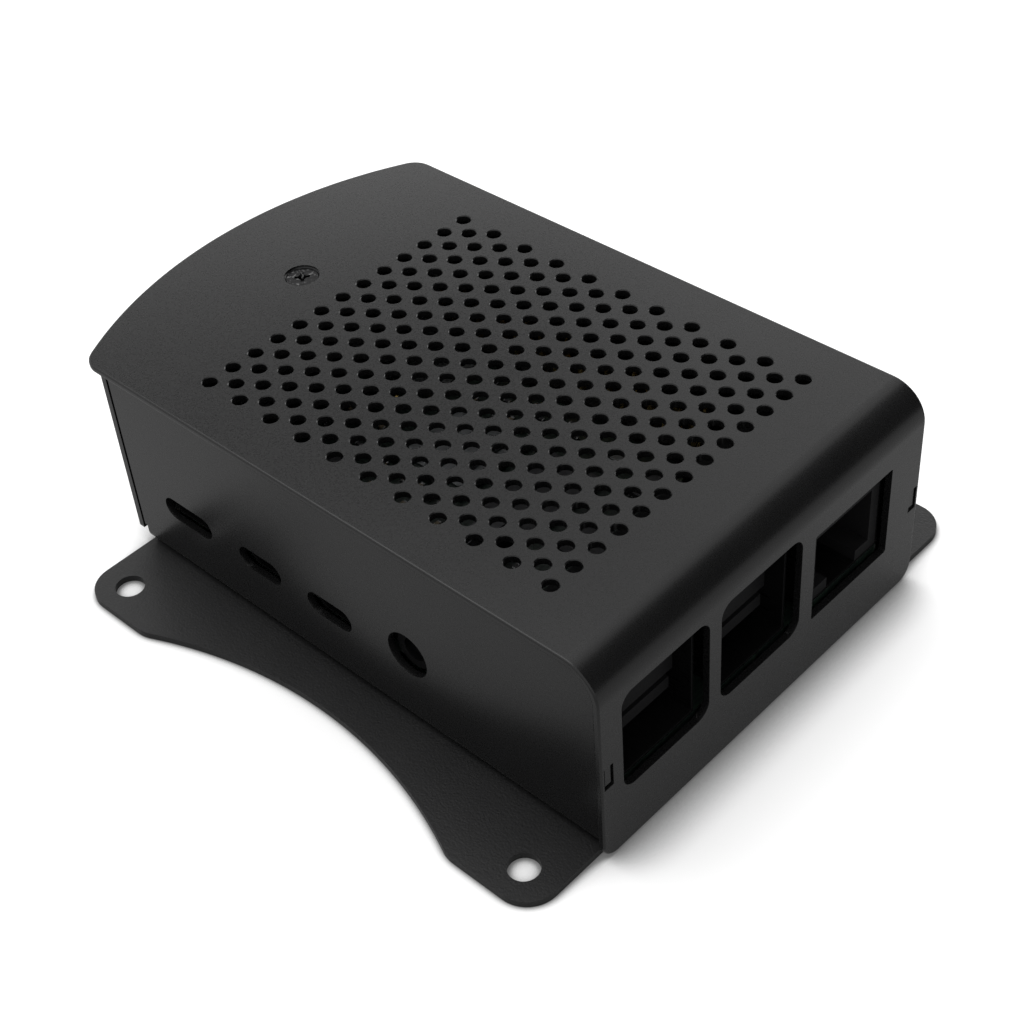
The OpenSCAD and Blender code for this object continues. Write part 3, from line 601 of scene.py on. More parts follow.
def tray_cuts():
    """The socket slots, the audio hole, the rivet holes, the memory card's window and the bracket's notch."""
    end_flat = 0.02
    slot_corner = (SLOT_HEIGHT - end_flat) / 2
    cuts = []
    for node, length in (("power_shell", POWER_SLOT), ("rear_video_shell", VIDEO_SLOT),
                         ("front_video_shell", VIDEO_SLOT)):
        x, _, z = middle(node)
        cuts.append(rounded_slab((x - length / 2, -TRAY_HALF - CUTTER_SPARE, z - SLOT_HEIGHT / 2),
                                 (x + length / 2, -TRAY_HALF + 2 * SHEET, z + SLOT_HEIGHT / 2),
                                 "y", slot_corner))
    audio_x, _, audio_z = middle("audio_barrel")
    cuts.append(drum((audio_x, -WALL_MIDDLE, audio_z), "y", 3 * SHEET, AUDIO_HOLE_R))
    cuts += drills(BOARD_HOLES, 1.5 * SHEET, RIVET_HOLE_R)
    card_y, (width, height) = middle("memory_card")[1], CARD_WINDOW
    cuts.append(rounded_slab((TRAY_REAR - CUTTER_SPARE, card_y - width / 2, CARD_WINDOW_LOW),
                             (TRAY_REAR + 2 * SHEET, card_y + width / 2, CARD_WINDOW_LOW + height),
                             "x", CARD_WINDOW_CORNER))
    notch_z = WALL_TOP - SHEET / 2
    mouth = slab((SCREW_X, -NOTCH_R, notch_z - DRILL_LENGTH / 2),
                 (SCREW_X + BRACKET_REACH + CUTTER_SPARE, NOTCH_R, notch_z + DRILL_LENGTH / 2))
    cuts.append(carve(*drills([(SCREW_X, 0)], notch_z, NOTCH_R), mouth, "UNION"))
    return cuts


def base_tray():
    """Floor, side walls and rear wall folded from one sheet, with a tab at the front of each side wall."""
    tray = tray_channel()
    for part in tray_rear_parts():
        tray = carve(tray, part, "UNION")
    for y in (-WALL_MIDDLE, WALL_MIDDLE):
        tab = slab((TRAY_FRONT - LAP, y - SHEET / 2, TAB_LOW), (TAB_FRONT, y + SHEET / 2, TAB_HIGH))
        tray = carve(tray, tab, "UNION")
    return break_edges(carve(tray, together(*tray_cuts())), TRAY_EDGE)


def bent_cover():
    """The cover's top, front bend and port panel, with its bowed rear edge and rounded panel corners."""
    half, bend = COVER_HALF, COVER_BEND
    crown, below = PANEL - bend, TOP - bend
    blank_rear, blank_front = COVER_REAR - CUTTER_SPARE, PANEL + CUTTER_SPARE
    sheet = drawn((blank_rear, TOP), [
        ("line", crown, TOP), ("arc", crown, below, -90),
        ("line", PANEL, PANEL_FOOT), ("line", PANEL - SHEET, PANEL_FOOT),
        ("line", PANEL - SHEET, below), ("arc", crown, below, 90),
        ("line", blank_rear, TOP - SHEET), ("line", blank_rear, TOP),
    ], "y", -half, half)
    bow_x = COVER_REAR + BOW_R
    corner_y = half - REAR_CORNER
    corner_x = bow_x - math.sqrt((BOW_R - REAR_CORNER) ** 2 - corner_y ** 2)
    lean = math.degrees(math.asin(corner_y / (BOW_R - REAR_CORNER)))
    plan = drawn((blank_front, -half), [
        ("line", blank_front, half), ("line", corner_x, half),
        ("arc", corner_x, corner_y, 90 - lean), ("arc", bow_x, 0, 2 * lean),
        ("arc", corner_x, -corner_y, 90 - lean), ("line", blank_front, -half),
    ], "z", -CUTTER_SPARE, TOP + CUTTER_SPARE)
    sheet = carve(sheet, plan, "INTERSECT")
    foot_y, foot_z = half - PANEL_CORNER, PANEL_FOOT + PANEL_CORNER
    wide, high = half + CUTTER_SPARE, TOP + CUTTER_SPARE
    front_view = drawn((-wide, high), [
        ("line", -wide, below), ("line", -half, below),
        ("line", -half, foot_z), ("arc", -foot_y, foot_z, 90),
        ("line", foot_y, PANEL_FOOT), ("arc", foot_y, foot_z, 90),
        ("line", half, below), ("line", wide, below),
        ("line", wide, high), ("line", -wide, high),
    ], "x", blank_rear - CUTTER_SPARE, blank_front)
    return break_edges(carve(sheet, front_view, "INTERSECT"), COVER_EDGE, segments=4)


def panel_openings():
    """Openings round the data ports and the network jack, and a slot for each tab of the tray."""
    # Each opening's gaps to its shell, and its corners
    cuts = []
    for node, beside, under, over, corner, segments in (
            ("near_data_shell", 1.3, 0.35, 0.35, 2.0, 8),
            ("far_data_shell", 1.3, 0.35, 0.35, 2.0, 8),
            ("network_shell", 0.2, 0.75, 0.15, 0.3, 3)):
        low, high = corners(node)
        cuts.append(rounded_slab((PANEL - 3 * SHEET, low[1] - beside, low[2] - under),
                                 (PANEL + CUTTER_SPARE, high[1] + beside, high[2] + over),
                                 "x", corner, segments))
    for y in (-WALL_MIDDLE, WALL_MIDDLE):
        cuts.append(slab((PANEL - 3 * SHEET, y - TAB_SLOT_WIDTH / 2, TAB_LOW - TAB_SLOT_BELOW),
                         (PANEL + CUTTER_SPARE, y + TAB_SLOT_WIDTH / 2, TAB_HIGH + TAB_SLOT_ABOVE)))
    return together(*cuts)


def vent_grid(columns, rows):
    """Places of a grid of vents, centred on the cover's vents."""
    return [(VENT_MIDDLE_X + (i - (columns - 1) / 2) * VENT_PITCH[0], (j - (rows - 1) / 2) * VENT_PITCH[1])
            for i in range(columns) for j in range(rows)]


def top_punches():
    """Punches for the vents, a grid and a second one between its holes, and the screw's countersunk seat."""
    mouth_depth, mouth_flare, proud = 0.12, 0.16, 0.04
    outline = [(0, TOP - 2 * SHEET), (VENT_R, TOP - 2 * SHEET), (VENT_R, TOP - mouth_depth),
               (VENT_R + mouth_flare, TOP + proud), (0, TOP + proud)]
    columns, rows = VENT_COUNT
    places = vent_grid(columns, rows) + vent_grid(columns - 1, rows - 1)
    punches = [moved(turned(outline, steps=20), x, y) for x, y in places]
    cone_low, cone_high = SCREW_TOP - SCREW_CONE, SCREW_TOP + SEAT_PROUD
    cone = drum((SCREW_X, 0, (cone_low + cone_high) / 2), "z", cone_high - cone_low,
                SEAT_CONE_R, SCREW_SEAT_R + SEAT_FLARE)
    sink = drum((SCREW_X, 0, TOP), "z", 2 * SCREW_SINK, SCREW_SEAT_R)
    return together(*punches, carve(sink, cone, "UNION"))


def top_cover():
    """Perforated top, front bend and port panel in one bent sheet."""
    sheet = break_edges(carve(bent_cover(), panel_openings()), OPENING_EDGE, segments=4)
    return carve(sheet, top_punches())


def threaded(bottom, top, pitch):
    """Outline points of a screw thread, from its tip up."""
    depth = 0.2
    points = [(0, bottom), (THREAD_R - 2 * depth, bottom)]
    for i in range(int((top - bottom) / pitch)):
        points.append((THREAD_R - depth, bottom + (i + 0.25) * pitch))
        points.append((THREAD_R, bottom + (i + 0.75) * pitch))
    return points


def cross_recess(top, reach, width, depth):
    """A tapered cross, ready to cut from the top of a screw head."""
    proud = 0.1
    floor_share, core_floor_share, core_share = 0.5, 0.3, 0.56
    arms = []
    for turn in (0, 90):
        arm = drum((0, 0, top + (proud - depth) / 2), "z", depth + proud,
                   floor_share * SQUARE, SQUARE, segments=4)
        bmesh.ops.scale(swung(arm, 45), vec=(reach, width / 2, 1), verts=arm.verts)
        arms.append(swung(arm, turn))
    cross = carve(*arms, "UNION")
    core = drum((0, 0, top - depth / 2), "z", depth + 2 * proud,
                core_floor_share * reach, core_share * reach, segments=24)
    return carve(cross, core, "UNION")


def cover_screw():
    """A countersunk screw, its cross recess turned as in the photo."""
    neck = SCREW_TOP - SCREW_CONE
    rim_low, rim_high, rim_ease = SCREW_TOP - 0.12, SCREW_TOP - 0.06, 0.08
    outline = threaded(SCREW_TIP, neck - 0.1, pitch=0.5)
    outline += [(NECK_R, neck), (SCREW_HEAD_R, rim_low), (SCREW_HEAD_R, rim_high),
                (SCREW_HEAD_R - rim_ease, SCREW_TOP), (0, SCREW_TOP)]
    screw = carve(turned(outline), cross_recess(SCREW_TOP, reach=1.2, width=0.55, depth=0.62))
    return moved(swung(screw, SCREW_TURN), SCREW_X, 0)


# Board and what stands on it

def row(x, y, pitch, count):
    """Places in a line along the board, the first one measured from the board's rear near corner."""
    return [(board_low[0] + x + pitch * i, board_low[1] + y) for i in range(count)]


def around(x, y, half_x, half_y, bottom, top):
    """Corners of a block round a place."""
    return (x - half_x, y - half_y, bottom), (x + half_x, y + half_y, top)


def drawn_in(low, high, inset, bottom, top):
    """Corners of a block drawn in on its four sides from another one's corners."""
    return (low[0] + inset, low[1] + inset, bottom), (high[0] - inset, high[1] - inset, top)


def circuit_board():
    board = rounded_slab(board_low, board_high, "z", radius=BOARD_CORNER)
    board = carve(board, together(*drills(BOARD_HOLES, BOARD_LOW, HOLE_R)))
    return break_edges(board, width=0.07, segments=1)


def bare_pads():
    """Bare plated rings round the screw holes, and two rows of bare test pads."""
    plating = 0.03
    ring_r, ring_hole_r, ring_middle = 3.05, 2.4, BOARD_TOP + 0.01
    pad_r, pad_top_r, pad_middle = 0.45, 0.42, BOARD_TOP + 0.005
    pads = []
    for hole in BOARD_HOLES:
        ring = drum((*hole, ring_middle), "z", plating, ring_r)
        pads.append(carve(ring, *drills([hole], BOARD_TOP, ring_hole_r)))
    for place in row(7.9, 36.2, pitch=1.6, count=7) + row(51.0, 14.4, pitch=1.6, count=6):
        pads.append(drum((*place, pad_middle), "z", plating, pad_r, pad_top_r, segments=16))
    return together(*pads)


def board_screws():
    """Pan head screws with a cross recess."""
    length, neck, head, head_r = 5.0, 0.3, 1.7, 2.3
    # How far in from the head's rim, and how far below its top
    dome = ((0, 0.8), (0.12, 0.4), (0.45, 0.12), (1.0, 0))
    top = BOARD_TOP + head
    outline = threaded(BOARD_TOP - length, BOARD_TOP - neck, pitch=0.55)
    outline += [(NECK_R, BOARD_TOP), (head_r, BOARD_TOP)]
    outline += [(head_r - inward, top - down) for inward, down in dome]
    outline.append((0, top))
    screws = []
    for x, y in BOARD_HOLES:
        screw = carve(turned(outline), cross_recess(top, reach=1.35, width=0.55, depth=0.9))
        screws.append(moved(screw, x, y))
    return together(*screws)


def board_posts():
    """Turned posts with a groove above the shoulder, each riveted into the tray by a narrower foot."""
    shoulder = 2 * SHEET
    post_r, groove_r, bore_r = 2.5, 2.2, THREAD_R
    ease, shoulder_ease = 0.1, 0.08
    groove_low, groove_high, groove_slope = shoulder + 1.1, shoulder + 2.0, 0.2
    bore_floor, mouth_depth, mouth_flare = shoulder + 2.6, 0.3, 0.25
    outline = [
        (0, 0), (RIVET_R - ease, 0), (RIVET_R, ease), (RIVET_R, shoulder),
        (post_r - shoulder_ease, shoulder), (post_r, shoulder + shoulder_ease),
        (post_r, groove_low), (groove_r, groove_low + groove_slope),
        (groove_r, groove_high - groove_slope), (post_r, groove_high),
        (post_r, BOARD_LOW - ease), (post_r - ease, BOARD_LOW),
        (bore_r + mouth_flare, BOARD_LOW), (bore_r, BOARD_LOW - mouth_depth),
        (bore_r, bore_floor), (0, bore_floor),
    ]
    return together(*[moved(turned(outline, steps=48), x, y) for x, y in BOARD_HOLES])


def processor_lid():
    """A pressed lid: a thin brim and a raised crown."""
    low, high = corners("heat_spreader")
    brim_top, crown_low, inset = low[2] + 0.32, low[2] + 0.3, 0.9
    brim = rounded_slab(*drawn_in(low, high, 0, low[2], brim_top), "z", radius=0.7)
    crown = rounded_slab(*drawn_in(low, high, inset, crown_low, high[2]), "z", radius=1.1)
    return together(break_edges(brim, width=0.06), break_edges(crown, width=0.12))


def marked_chip(node, lift):
    """A flat chip, its first corner marked by a dimple, standing on a slightly smaller foot."""
    low, high = corners(node)
    mark_inset, mark_r, mark_depth = 1.0, 0.4, 0.08
    foot_inset, foot_lap = 0.3, 0.05
    body = slab((low[0], low[1], low[2] + lift), high)
    mark_place = (low[0] + mark_inset, high[1] - mark_inset, high[2])
    body = carve(body, drum(mark_place, "z", 2 * mark_depth, mark_r, segments=24))
    foot = slab(*drawn_in(low, high, foot_inset, low[2], low[2] + lift + foot_lap))
    return together(break_edges(body, width=0.08), foot)


def edge_pads(node, count):
    """Solder fillets along the four edges of a flat chip."""
    low, high = corners(node)
    half_width, half_length, top = 0.13, 0.16, low[2] + 0.2
    pads = []
    for i in range(count):
        x, y = [a + (b - a) * (i + 1) / (count + 1) for a, b in zip(low[:2], high[:2])]
        for edge_x, edge_y in (low[:2], high[:2]):
            pads.append(slab(*around(x, edge_y, half_width, half_length, low[2], top)))
            pads.append(slab(*around(edge_x, y, half_length, half_width, low[2], top)))
    return together(*pads)


def wireless_can():
    """A pressed lid snapped over a low fence, with a seam line round its top and notches along its foot."""
    low, high = corners("wireless_shield")
    seam_outer, seam_inner, seam_depth, spare = 0.8, 1.05, 0.1, 0.2
    notch_half, notch_depth, notch_pitch = 0.4, 0.25, 2.0
    notch_low, notch_top = low[2] - 0.1, low[2] + 0.45
    groove = drawn_in(low, high, seam_outer, high[2] - seam_depth, high[2] + spare)
    core = drawn_in(low, high, seam_inner, high[2] - spare, high[2] + 2 * spare)
    seam = carve(rounded_slab(*groove, "z", radius=0.6), rounded_slab(*core, "z", radius=0.4))
    can = carve(rounded_slab(low, high, "z", radius=0.7), seam)
    columns, rows = [round((b - a) / notch_pitch) for a, b in zip(low[:2], high[:2])]
    notches = []
    for edge_x, edge_y in (low[:2], high[:2]):
        for i in range(1, columns):
            x = low[0] + notch_pitch * i
            notches.append(slab(*around(x, edge_y, notch_half, notch_depth, notch_low, notch_top)))
        for j in range(1, rows):
            y = low[1] + notch_pitch * j
            notches.append(slab(*around(edge_x, y, notch_depth, notch_half, notch_low, notch_top)))
    return break_edges(carve(can, together(*notches)), width=0.07)


def crystal_cans():
    """Two small cans, each a pressed cap on a brim, in two opposite corners of their node's box."""
    low, high = corners("crystals")
    half_x, half_y, inset = 1.6, 1.25, 0.22
    brim_top, cap_low = low[2] + 0.42, low[2] + 0.4
    cans = []
    for x, y in ((low[0] + half_x, high[1] - half_y), (high[0] - half_x, low[1] + half_y)):
        brim = rounded_slab(*around(x, y, half_x, half_y, low[2], brim_top), "z", radius=0.2, segments=3)
        cap = rounded_slab(*around(x, y, half_x - inset, half_y - inset, cap_low, high[2]), "z",
                           radius=0.35, segments=4)
        cans += [break_edges(brim, width=0.05), break_edges(cap, width=0.08)]
    return together(*cans)


def coils():
    """Two square coil blocks, at the two ends of their node's box, and their tinned ends."""
    low, high = corners("inductors")
    half = (high[0] - low[0]) / 2
    end_half_length, end_half_width, end_top = 0.2, 1.2, low[2] + 0.8
    blocks, ends = [], []
    for y in (low[1] + half, high[1] - half):
        block = ((low[0], y - half, low[2]), (high[0], y + half, high[2]))
        blocks.append(break_edges(rounded_slab(*block, "z", radius=0.6, segments=5), width=0.2))
        for x in (low[0], high[0]):
            end = slab(*around(x, y, end_half_length, end_half_width, low[2], end_top))
            ends.append(break_edges(end, width=0.05))
    return together(*blocks), together(*ends)


def bar(place, along, first, last, width, height):
    """Corners of a bar on the board that lies along X or Y, from first to last about a place."""
    x, y = place
    if along == "x":
        return (x + first, y - width / 2, BOARD_TOP), (x + last, y + width / 2, BOARD_TOP + height)
    return (x - width / 2, y + first, BOARD_TOP), (x + width / 2, y + last, BOARD_TOP + height)


def chip_parts(rows, length, width, height):
    """Small two-ended parts, each row of them turned along X or Y: their bodies and their tinned ends."""
    end, inner = length / 2, 0.3 * length
    body_height = 0.96 * height
    bodies, ends = [], []
    for along, places in rows:
        for place in places:
            bodies.append(slab(*bar(place, along, -inner, inner, width, body_height)))
            for first, last in ((-end, -inner), (inner, end)):
                cap = bar(place, along, first, last, width, height)
                ends.append(rounded_slab(*cap, along, radius=0.06, segments=1))
    return together(*bodies), together(*ends)


def processor_capacitors():
    """Two rows of capacitors beside the processor, at the near and the far side of their node's box."""
    low, high = corners("capacitors")
    length, width, height, pitch, count = 1.7, 0.9, high[2] - low[2], 2.4, 6
    places = [(low[0] + width / 2 + pitch * i, y)
              for i in range(count) for y in (low[1] + length / 2, high[1] - length / 2)]
    return chip_parts([("y", places)], length, width, height)


def lamp(node):
    """A small lens with a crowned top between two tinned ends."""
    low, high = corners(node)
    lens_inset, end_inset, end_length, end_top = 0.3, 0.05, 0.35, low[2] + 0.4
    lens = slab((low[0], low[1] + lens_inset, low[2]), (high[0], high[1] - lens_inset, high[2]))
    ends = [slab((low[0] + end_inset, y, low[2]), (high[0] - end_inset, y + end_length, end_top))
            for y in (low[1], high[1] - end_length)]
    return break_edges(lens, width=0.16, segments=3), together(*ends)


def ribbon_leads():
    """Solder leads along the inner edge of the two ribbon sockets."""
    count, pitch, lap = 15, 1.2, 0.2
    half_length, half_width, top = 0.45, 0.17, BOARD_TOP + 0.18
    leads = []
    for node in ("display_socket", "camera_socket"):
        x = corners(node)[1][0] - lap + half_length
        for i in range(count):
            y = middle(node)[1] + pitch * (i - (count - 1) / 2)
            leads.append(slab(*around(x, y, half_length, half_width, BOARD_TOP, top)))
    return together(*leads)


def pin_places(node):
    """Middles of the blocks of a two-row header, one to a pin."""
    low, high = corners(node)
    columns, rows = [round((b - a) / PIN_PITCH) for a, b in zip(low[:2], high[:2])]
    return [(low[0] + PIN_PITCH * (i + 0.5), low[1] + PIN_PITCH * (j + 0.5))
            for i in range(columns) for j in range(rows)]


def header_base(node):
    """Moulded blocks in two rows, one to a pin, with their corners cut off."""
    low, high = corners(node)
    half = PIN_PITCH / 2
    blocks = []
    for x, y in pin_places(node):
        block = rounded_slab(*around(x, y, half, half, low[2], high[2]), "z", radius=0.5, segments=1)
        blocks.append(break_edges(block, width=0.06, segments=1))
    return together(*blocks)


def header_pins(base, node):
    """Square pins with pointed tips."""
    tip_height, half, tip_half = 0.6, 0.32, 0.14
    low, high = corners(node)
    shank_top, tip_middle = high[2] - tip_height, high[2] - tip_height / 2
    pins = []
    for x, y in pin_places(base):
        tip = drum((0, 0, tip_middle), "z", tip_height, half * SQUARE, tip_half * SQUARE, segments=4)
        pins.append(slab(*around(x, y, half, half, low[2], shank_top)))
        pins.append(moved(swung(tip, 45), x, y))
    return together(*pins)


def spring_cut(low, high):
    """Three narrow slots that free a spring tongue in a shell's wall, all but its front end."""
    slit = 0.3
    span = 1 if high[1] - low[1] > high[2] - low[2] else 2
    slots = []
    for edge in (low[span], high[span]):
        first, last = list(low), list(high)
        first[span], last[span] = edge - slit / 2, edge + slit / 2
        slots.append(slab(first, last))
    first, last = list(low), list(high)
    last[0] = low[0] + slit
    first[span], last[span] = low[span] - slit / 2, high[span] + slit / 2
    return slots + [slab(first, last)]


def port_shell(node, roof_inset, side_heights):
    """A folded metal shell, open to the front, with spring tongues in its roof and sides."""
    low, high = corners(node)
    wall, over, half = 0.4, 0.2, 1.1
    back, front = high[0] - 9.0, high[0] - 2.2
    roof_low, roof_high = high[2] - wall - over, high[2] + over
    hollow = slab((low[0] + wall, low[1] + wall, low[2] + wall),
                  (high[0] + CUTTER_SPARE, high[1] - wall, high[2] - wall))
    shell = carve(slab(low, high), hollow)
    cuts = []
    for y in (low[1] + roof_inset, high[1] - roof_inset):
        cuts += spring_cut((back, y - half, roof_low), (front, y + half, roof_high))
    for height in side_heights:
        z = low[2] + height
        for first, last in ((low[1], low[1] + wall), (high[1] - wall, high[1])):
            cuts += spring_cut((back, first - over, z - half), (front, last + over, z + half))
    for cut in cuts:
        shell = carve(shell, cut)
    return break_edges(shell, width=0.07)


def data_contacts():
    """Flat gold contacts on the underside of the four data tongues."""
    back, front, half_width, sunk, proud = 9.1, 3.4, 0.5, 0.1, 0.05
    strips = []
    for node in ("near_data_shell", "far_data_shell"):
        low, high = corners(node)
        for tongue in (low[2] + 3.25, low[2] + 12.1):
            for y in [middle(node)[1] + offset for offset in (-3.5, -1.2, 1.2, 3.5)]:
                strips.append(slab((high[0] - back, y - half_width, tongue - proud),
                                   (high[0] - front, y + half_width, tongue + sunk)))
    return together(*strips)


def memory_card():
    """A small card with one side stepped in, and a finger ridge at its outer end."""
    low, high = corners("memory_card")
    outer_r, inner_r, step = 0.8, 0.6, 1.2
    rear, front, step_x = low[0] + outer_r, high[0] - inner_r, low[0] + 7.6
    stepped = high[1] - step
    card_top, ridge_low = high[2] - 0.18, high[2] - 0.25
    ridge_rear, ridge_front, ridge_inset = low[0] + 0.05, low[0] + 1.7, 0.3
    card = drawn((rear, low[1]), [
        ("line", front, low[1]), ("arc", front, low[1] + inner_r, 90),
        ("line", high[0], stepped - inner_r), ("arc", front, stepped - inner_r, 90),
        ("line", step_x, stepped), ("line", step_x - step, high[1]),
        ("line", rear, high[1]), ("arc", rear, high[1] - outer_r, 90),
        ("line", low[0], low[1] + outer_r), ("arc", rear, low[1] + outer_r, 90),
    ], "z", low[2], card_top)
    ridge = rounded_slab((ridge_rear, low[1] + ridge_inset, ridge_low),
                         (ridge_front, high[1] - ridge_inset, high[2]), "z", radius=0.6)
    return together(break_edges(card, width=0.08), break_edges(ridge, width=0.1))


def card_pads():
    """Gold pads on the card's underside, near its inner end."""
    low, high = corners("memory_card")
    count, pitch, width, first_y = 7, 1.08, 0.7, low[1] + 1.5
    back, front = high[0] - 2.3, high[0] - 0.4
    proud, sunk = 0.01, 0.05
    pads = []
    for y in [first_y + pitch * i for i in range(count)]:
        pads.append(slab((back, y, low[2] - proud), (front, y + width, low[2] + sunk)))
    return together(*pads)


piece("mounting_plate_sheet", mounting_plate(), textured_coat, "base", "black_coat", "mounting_plate")
piece("base_tray_sheet", base_tray(), black_coat, "base", "black_coat", "base_tray")
piece("top_cover_sheet", top_cover(), black_coat, "cover", "black_coat", "top_cover", sharp=30)
piece("cover_screw_cross_head", cover_screw(), black_screw_plating, "cover_screw", "black_zinc",
      "cover_screw")

piece("board_laminate", circuit_board(), board_mask, "base", "board_mask", "circuit_board")
piece("board_bare_pads", bare_pads(), gold_flash, "base", "gold_plate")
piece("board_pan_screws", board_screws(), bright_steel, "base", "bright_steel", "board_screws")
piece("board_posts", board_posts(), turned_brass, "base", "brass_post", "board_standoffs")
package = break_edges(slab(*corners("processor")), width=0.1)
piece("processor_package", package, package_laminate, "base", "board_mask", "processor")
piece("processor_lid", processor_lid(), dull_can, "base", "metal_can", "heat_spreader")
piece("wireless_can", wireless_can(), dull_can, "base", "metal_can", "wireless_shield")
piece("crystal_cans", crystal_cans(), dull_can, "base", "metal_can", "crystals")
for name, lift, pads in (("memory_chip", 0.22, 0), ("power_chip", 0.05, 8),
                         ("port_controller", 0.05, 12), ("network_controller", 0.05, 10)):
    piece(name + "_package", marked_chip(name, lift), chip_black, "base", "chip_black", name)
    if pads:
        piece(name + "_joints", edge_pads(name, pads), shade_dark_tin, "base", "bright_steel")
bodies, ends = coils()
piece("coil_blocks", bodies, chip_black, "base", "chip_black", "inductors")
piece("coil_ends", ends, shade_dark_tin, "base", "bright_steel")
bodies, ends = processor_capacitors()
piece("capacitor_bodies", bodies, fired_ceramic, "base", "ceramic", "capacitors")
piece("capacitor_ends", ends, shade_dark_tin, "base", "bright_steel")
# Rows of small parts: the way each part lies, the row's first place, its pitch and its count
small_capacitor_rows = [
    ("y", row(24.4, 14.8, pitch=2.2, count=9)),
    ("y", row(24.4, 19.6, pitch=2.2, count=9)),
    ("x", row(8.0, 29.4, pitch=2.2, count=5)),
]
bodies, ends = chip_parts(small_capacitor_rows, length=1.2, width=0.65, height=0.6)
piece("small_capacitor_bodies", bodies, fired_ceramic, "base", "ceramic")
piece("small_capacitor_ends", ends, shade_dark_tin, "base", "bright_steel")
resistor_rows = [
    ("y", row(24.4, 17.2, pitch=2.2, count=9)),
    ("y", row(51.4, 17.6, pitch=2.3, count=7)),
    ("y", row(51.4, 20.4, pitch=2.3, count=7)),
    ("x", row(22.4, 45.2, pitch=2.2, count=10)),
    ("x", row(22.4, 47.2, pitch=2.2, count=10)),
    ("x", row(8.0, 24.8, pitch=2.2, count=5)),
]
bodies, ends = chip_parts(resistor_rows, length=1.2, width=0.65, height=0.4)
piece("resistor_bodies", bodies, chip_black, "base", "chip_black")
piece("resistor_ends", ends, shade_dark_tin, "base", "bright_steel")
for name, finish, slot in (("power_lamp", red_lens, "red_lamp"), ("activity_lamp", green_lens, "green_lamp")):
    lens, ends = lamp(name)
    piece(name + "_lens", lens, finish, "base", slot, name)
    piece(name + "_ends", ends, shade_dark_tin, "base", "bright_steel")
piece("ribbon_leads", ribbon_leads(), shade_dark_tin, "base", "bright_steel")
for name in ("pin_header", "small_header"):
    base, pins = name + "_base", name + "_pins"
    piece(name + "_blocks", header_base(base), moulded_black, "base", "port_plastic", base)
    piece(name + "_points", header_pins(base, pins), gold_flash, "base", "gold_plate", pins)
for name, roof_inset, side_heights in (
        ("near_data_shell", 3.4, (3.2, 12.1)), ("far_data_shell", 3.4, (3.2, 12.1)),
        ("network_shell", 4.2, (6.6,))):
    shell = port_shell(name, roof_inset, side_heights)
    piece(name + "_sprung", shell, dark_nickel, "base", "dark_nickel", name)
piece("data_contacts", data_contacts(), gold_flash, "base", "gold_plate")
piece("memory_card_ridged", memory_card(), card_black, "memory_card", "card_black", "memory_card")
piece("memory_card_pads", card_pads(), gold_flash, "memory_card", "gold_plate")

# Solids shown as they are
shown_as_solids = {
    bright_steel: ("cover_nut", "card_socket"),
    # The audio barrel and the side shells take the same painted shade
    dark_nickel: ("audio_barrel", "power_shell", "rear_video_shell", "front_video_shell"),
    moulded_black: ("near_data_insert", "far_data_insert", "network_insert", "power_tongue", "audio_body",
                    "rear_video_tongue", "front_video_tongue", "display_socket", "camera_socket"),
    latch_grey: ("display_latch", "camera_latch"),
    gold_flash: ("network_contacts",),
}
for finish, names in shown_as_solids.items():
    for node in names:
        nodes[node].data.materials.clear()
        nodes[node].data.materials.append(finish)


# Studio, in metres

def seen_or_mirrored(tree, seen, mirrored, others):
    """One level for the camera's rays, one for rays from gloss and through glass, and one for all others."""
    path = tree.nodes.new("ShaderNodeLightPath")
    shiny = sums(tree, "MAXIMUM", path.outputs["Is Glossy Ray"], path.outputs["Is Transmission Ray"])
    level = sums(tree, "MULTIPLY", shiny, mirrored - others)
    level = sums(tree, "ADD", level, sums(tree, "MULTIPLY", path.outputs["Is Camera Ray"], seen - others))
    return sums(tree, "ADD", level, others)


def painted_contact_shade(tree, reach, darkest):
    """Painted contact shadow on the floor, for the camera only: darkest where the object meets it, 1 where
    nothing stands close.
    """
    near = tree.nodes.new("ShaderNodeAmbientOcclusion")
    feed(tree, near, {"Distance": reach})
    level = between(tree, near.outputs["AO"], darkest, 1.0, start=0.5, end=0.85)
    camera_ray = tree.nodes.new("ShaderNodeLightPath").outputs["Is Camera Ray"]
    loss = sums(tree, "MULTIPLY", camera_ray, sums(tree, "SUBTRACT", 1.0, level))
    return sums(tree, "SUBTRACT", 1.0, loss)


def white_floor(half_size, drop):
    """A pale floor just under the object, brighter to the camera than to the object."""
    bm = bmesh.new()
    bmesh.ops.create_grid(bm, x_segments=1, y_segments=1, size=half_size)
    floor = linked("floor", moved(bm, 0, 0, -drop))
    mat = bpy.data.materials.new("white_floor")
    mat.use_nodes = True
    tree = mat.node_tree
    # The floor's colour and glow carry the painted contact shadow
    shade = painted_contact_shade(tree, reach=0.0105, darkest=0.22)
    colour = seen_or_mirrored(tree, seen=0.95, mirrored=0.5, others=0.5)
    lift = seen_or_mirrored(tree, seen=0.33, mirrored=0.05, others=0.0)
    feed(tree, tree.nodes["Principled BSDF"], {
        "Base Color": sums(tree, "MULTIPLY", colour, shade),
        "Roughness": 0.9,
        "Specular IOR Level": 0.0,
        "Emission Color": (1, 1, 1, 1),
        "Emission Strength": sums(tree, "MULTIPLY", lift, shade),
    })
    floor.data.materials.append(mat)


def white_room():
    """Even white light from all round, white to the camera and in mirrors."""
    world = bpy.data.worlds.new("room")
    world.use_nodes = True
    tree = world.node_tree
    strength = seen_or_mirrored(tree, seen=1.0, mirrored=1.0, others=0.62)
    feed(tree, tree.nodes["Background"], {"Color": (1, 1, 1, 1), "Strength": strength})
    bpy.context.scene.world = world


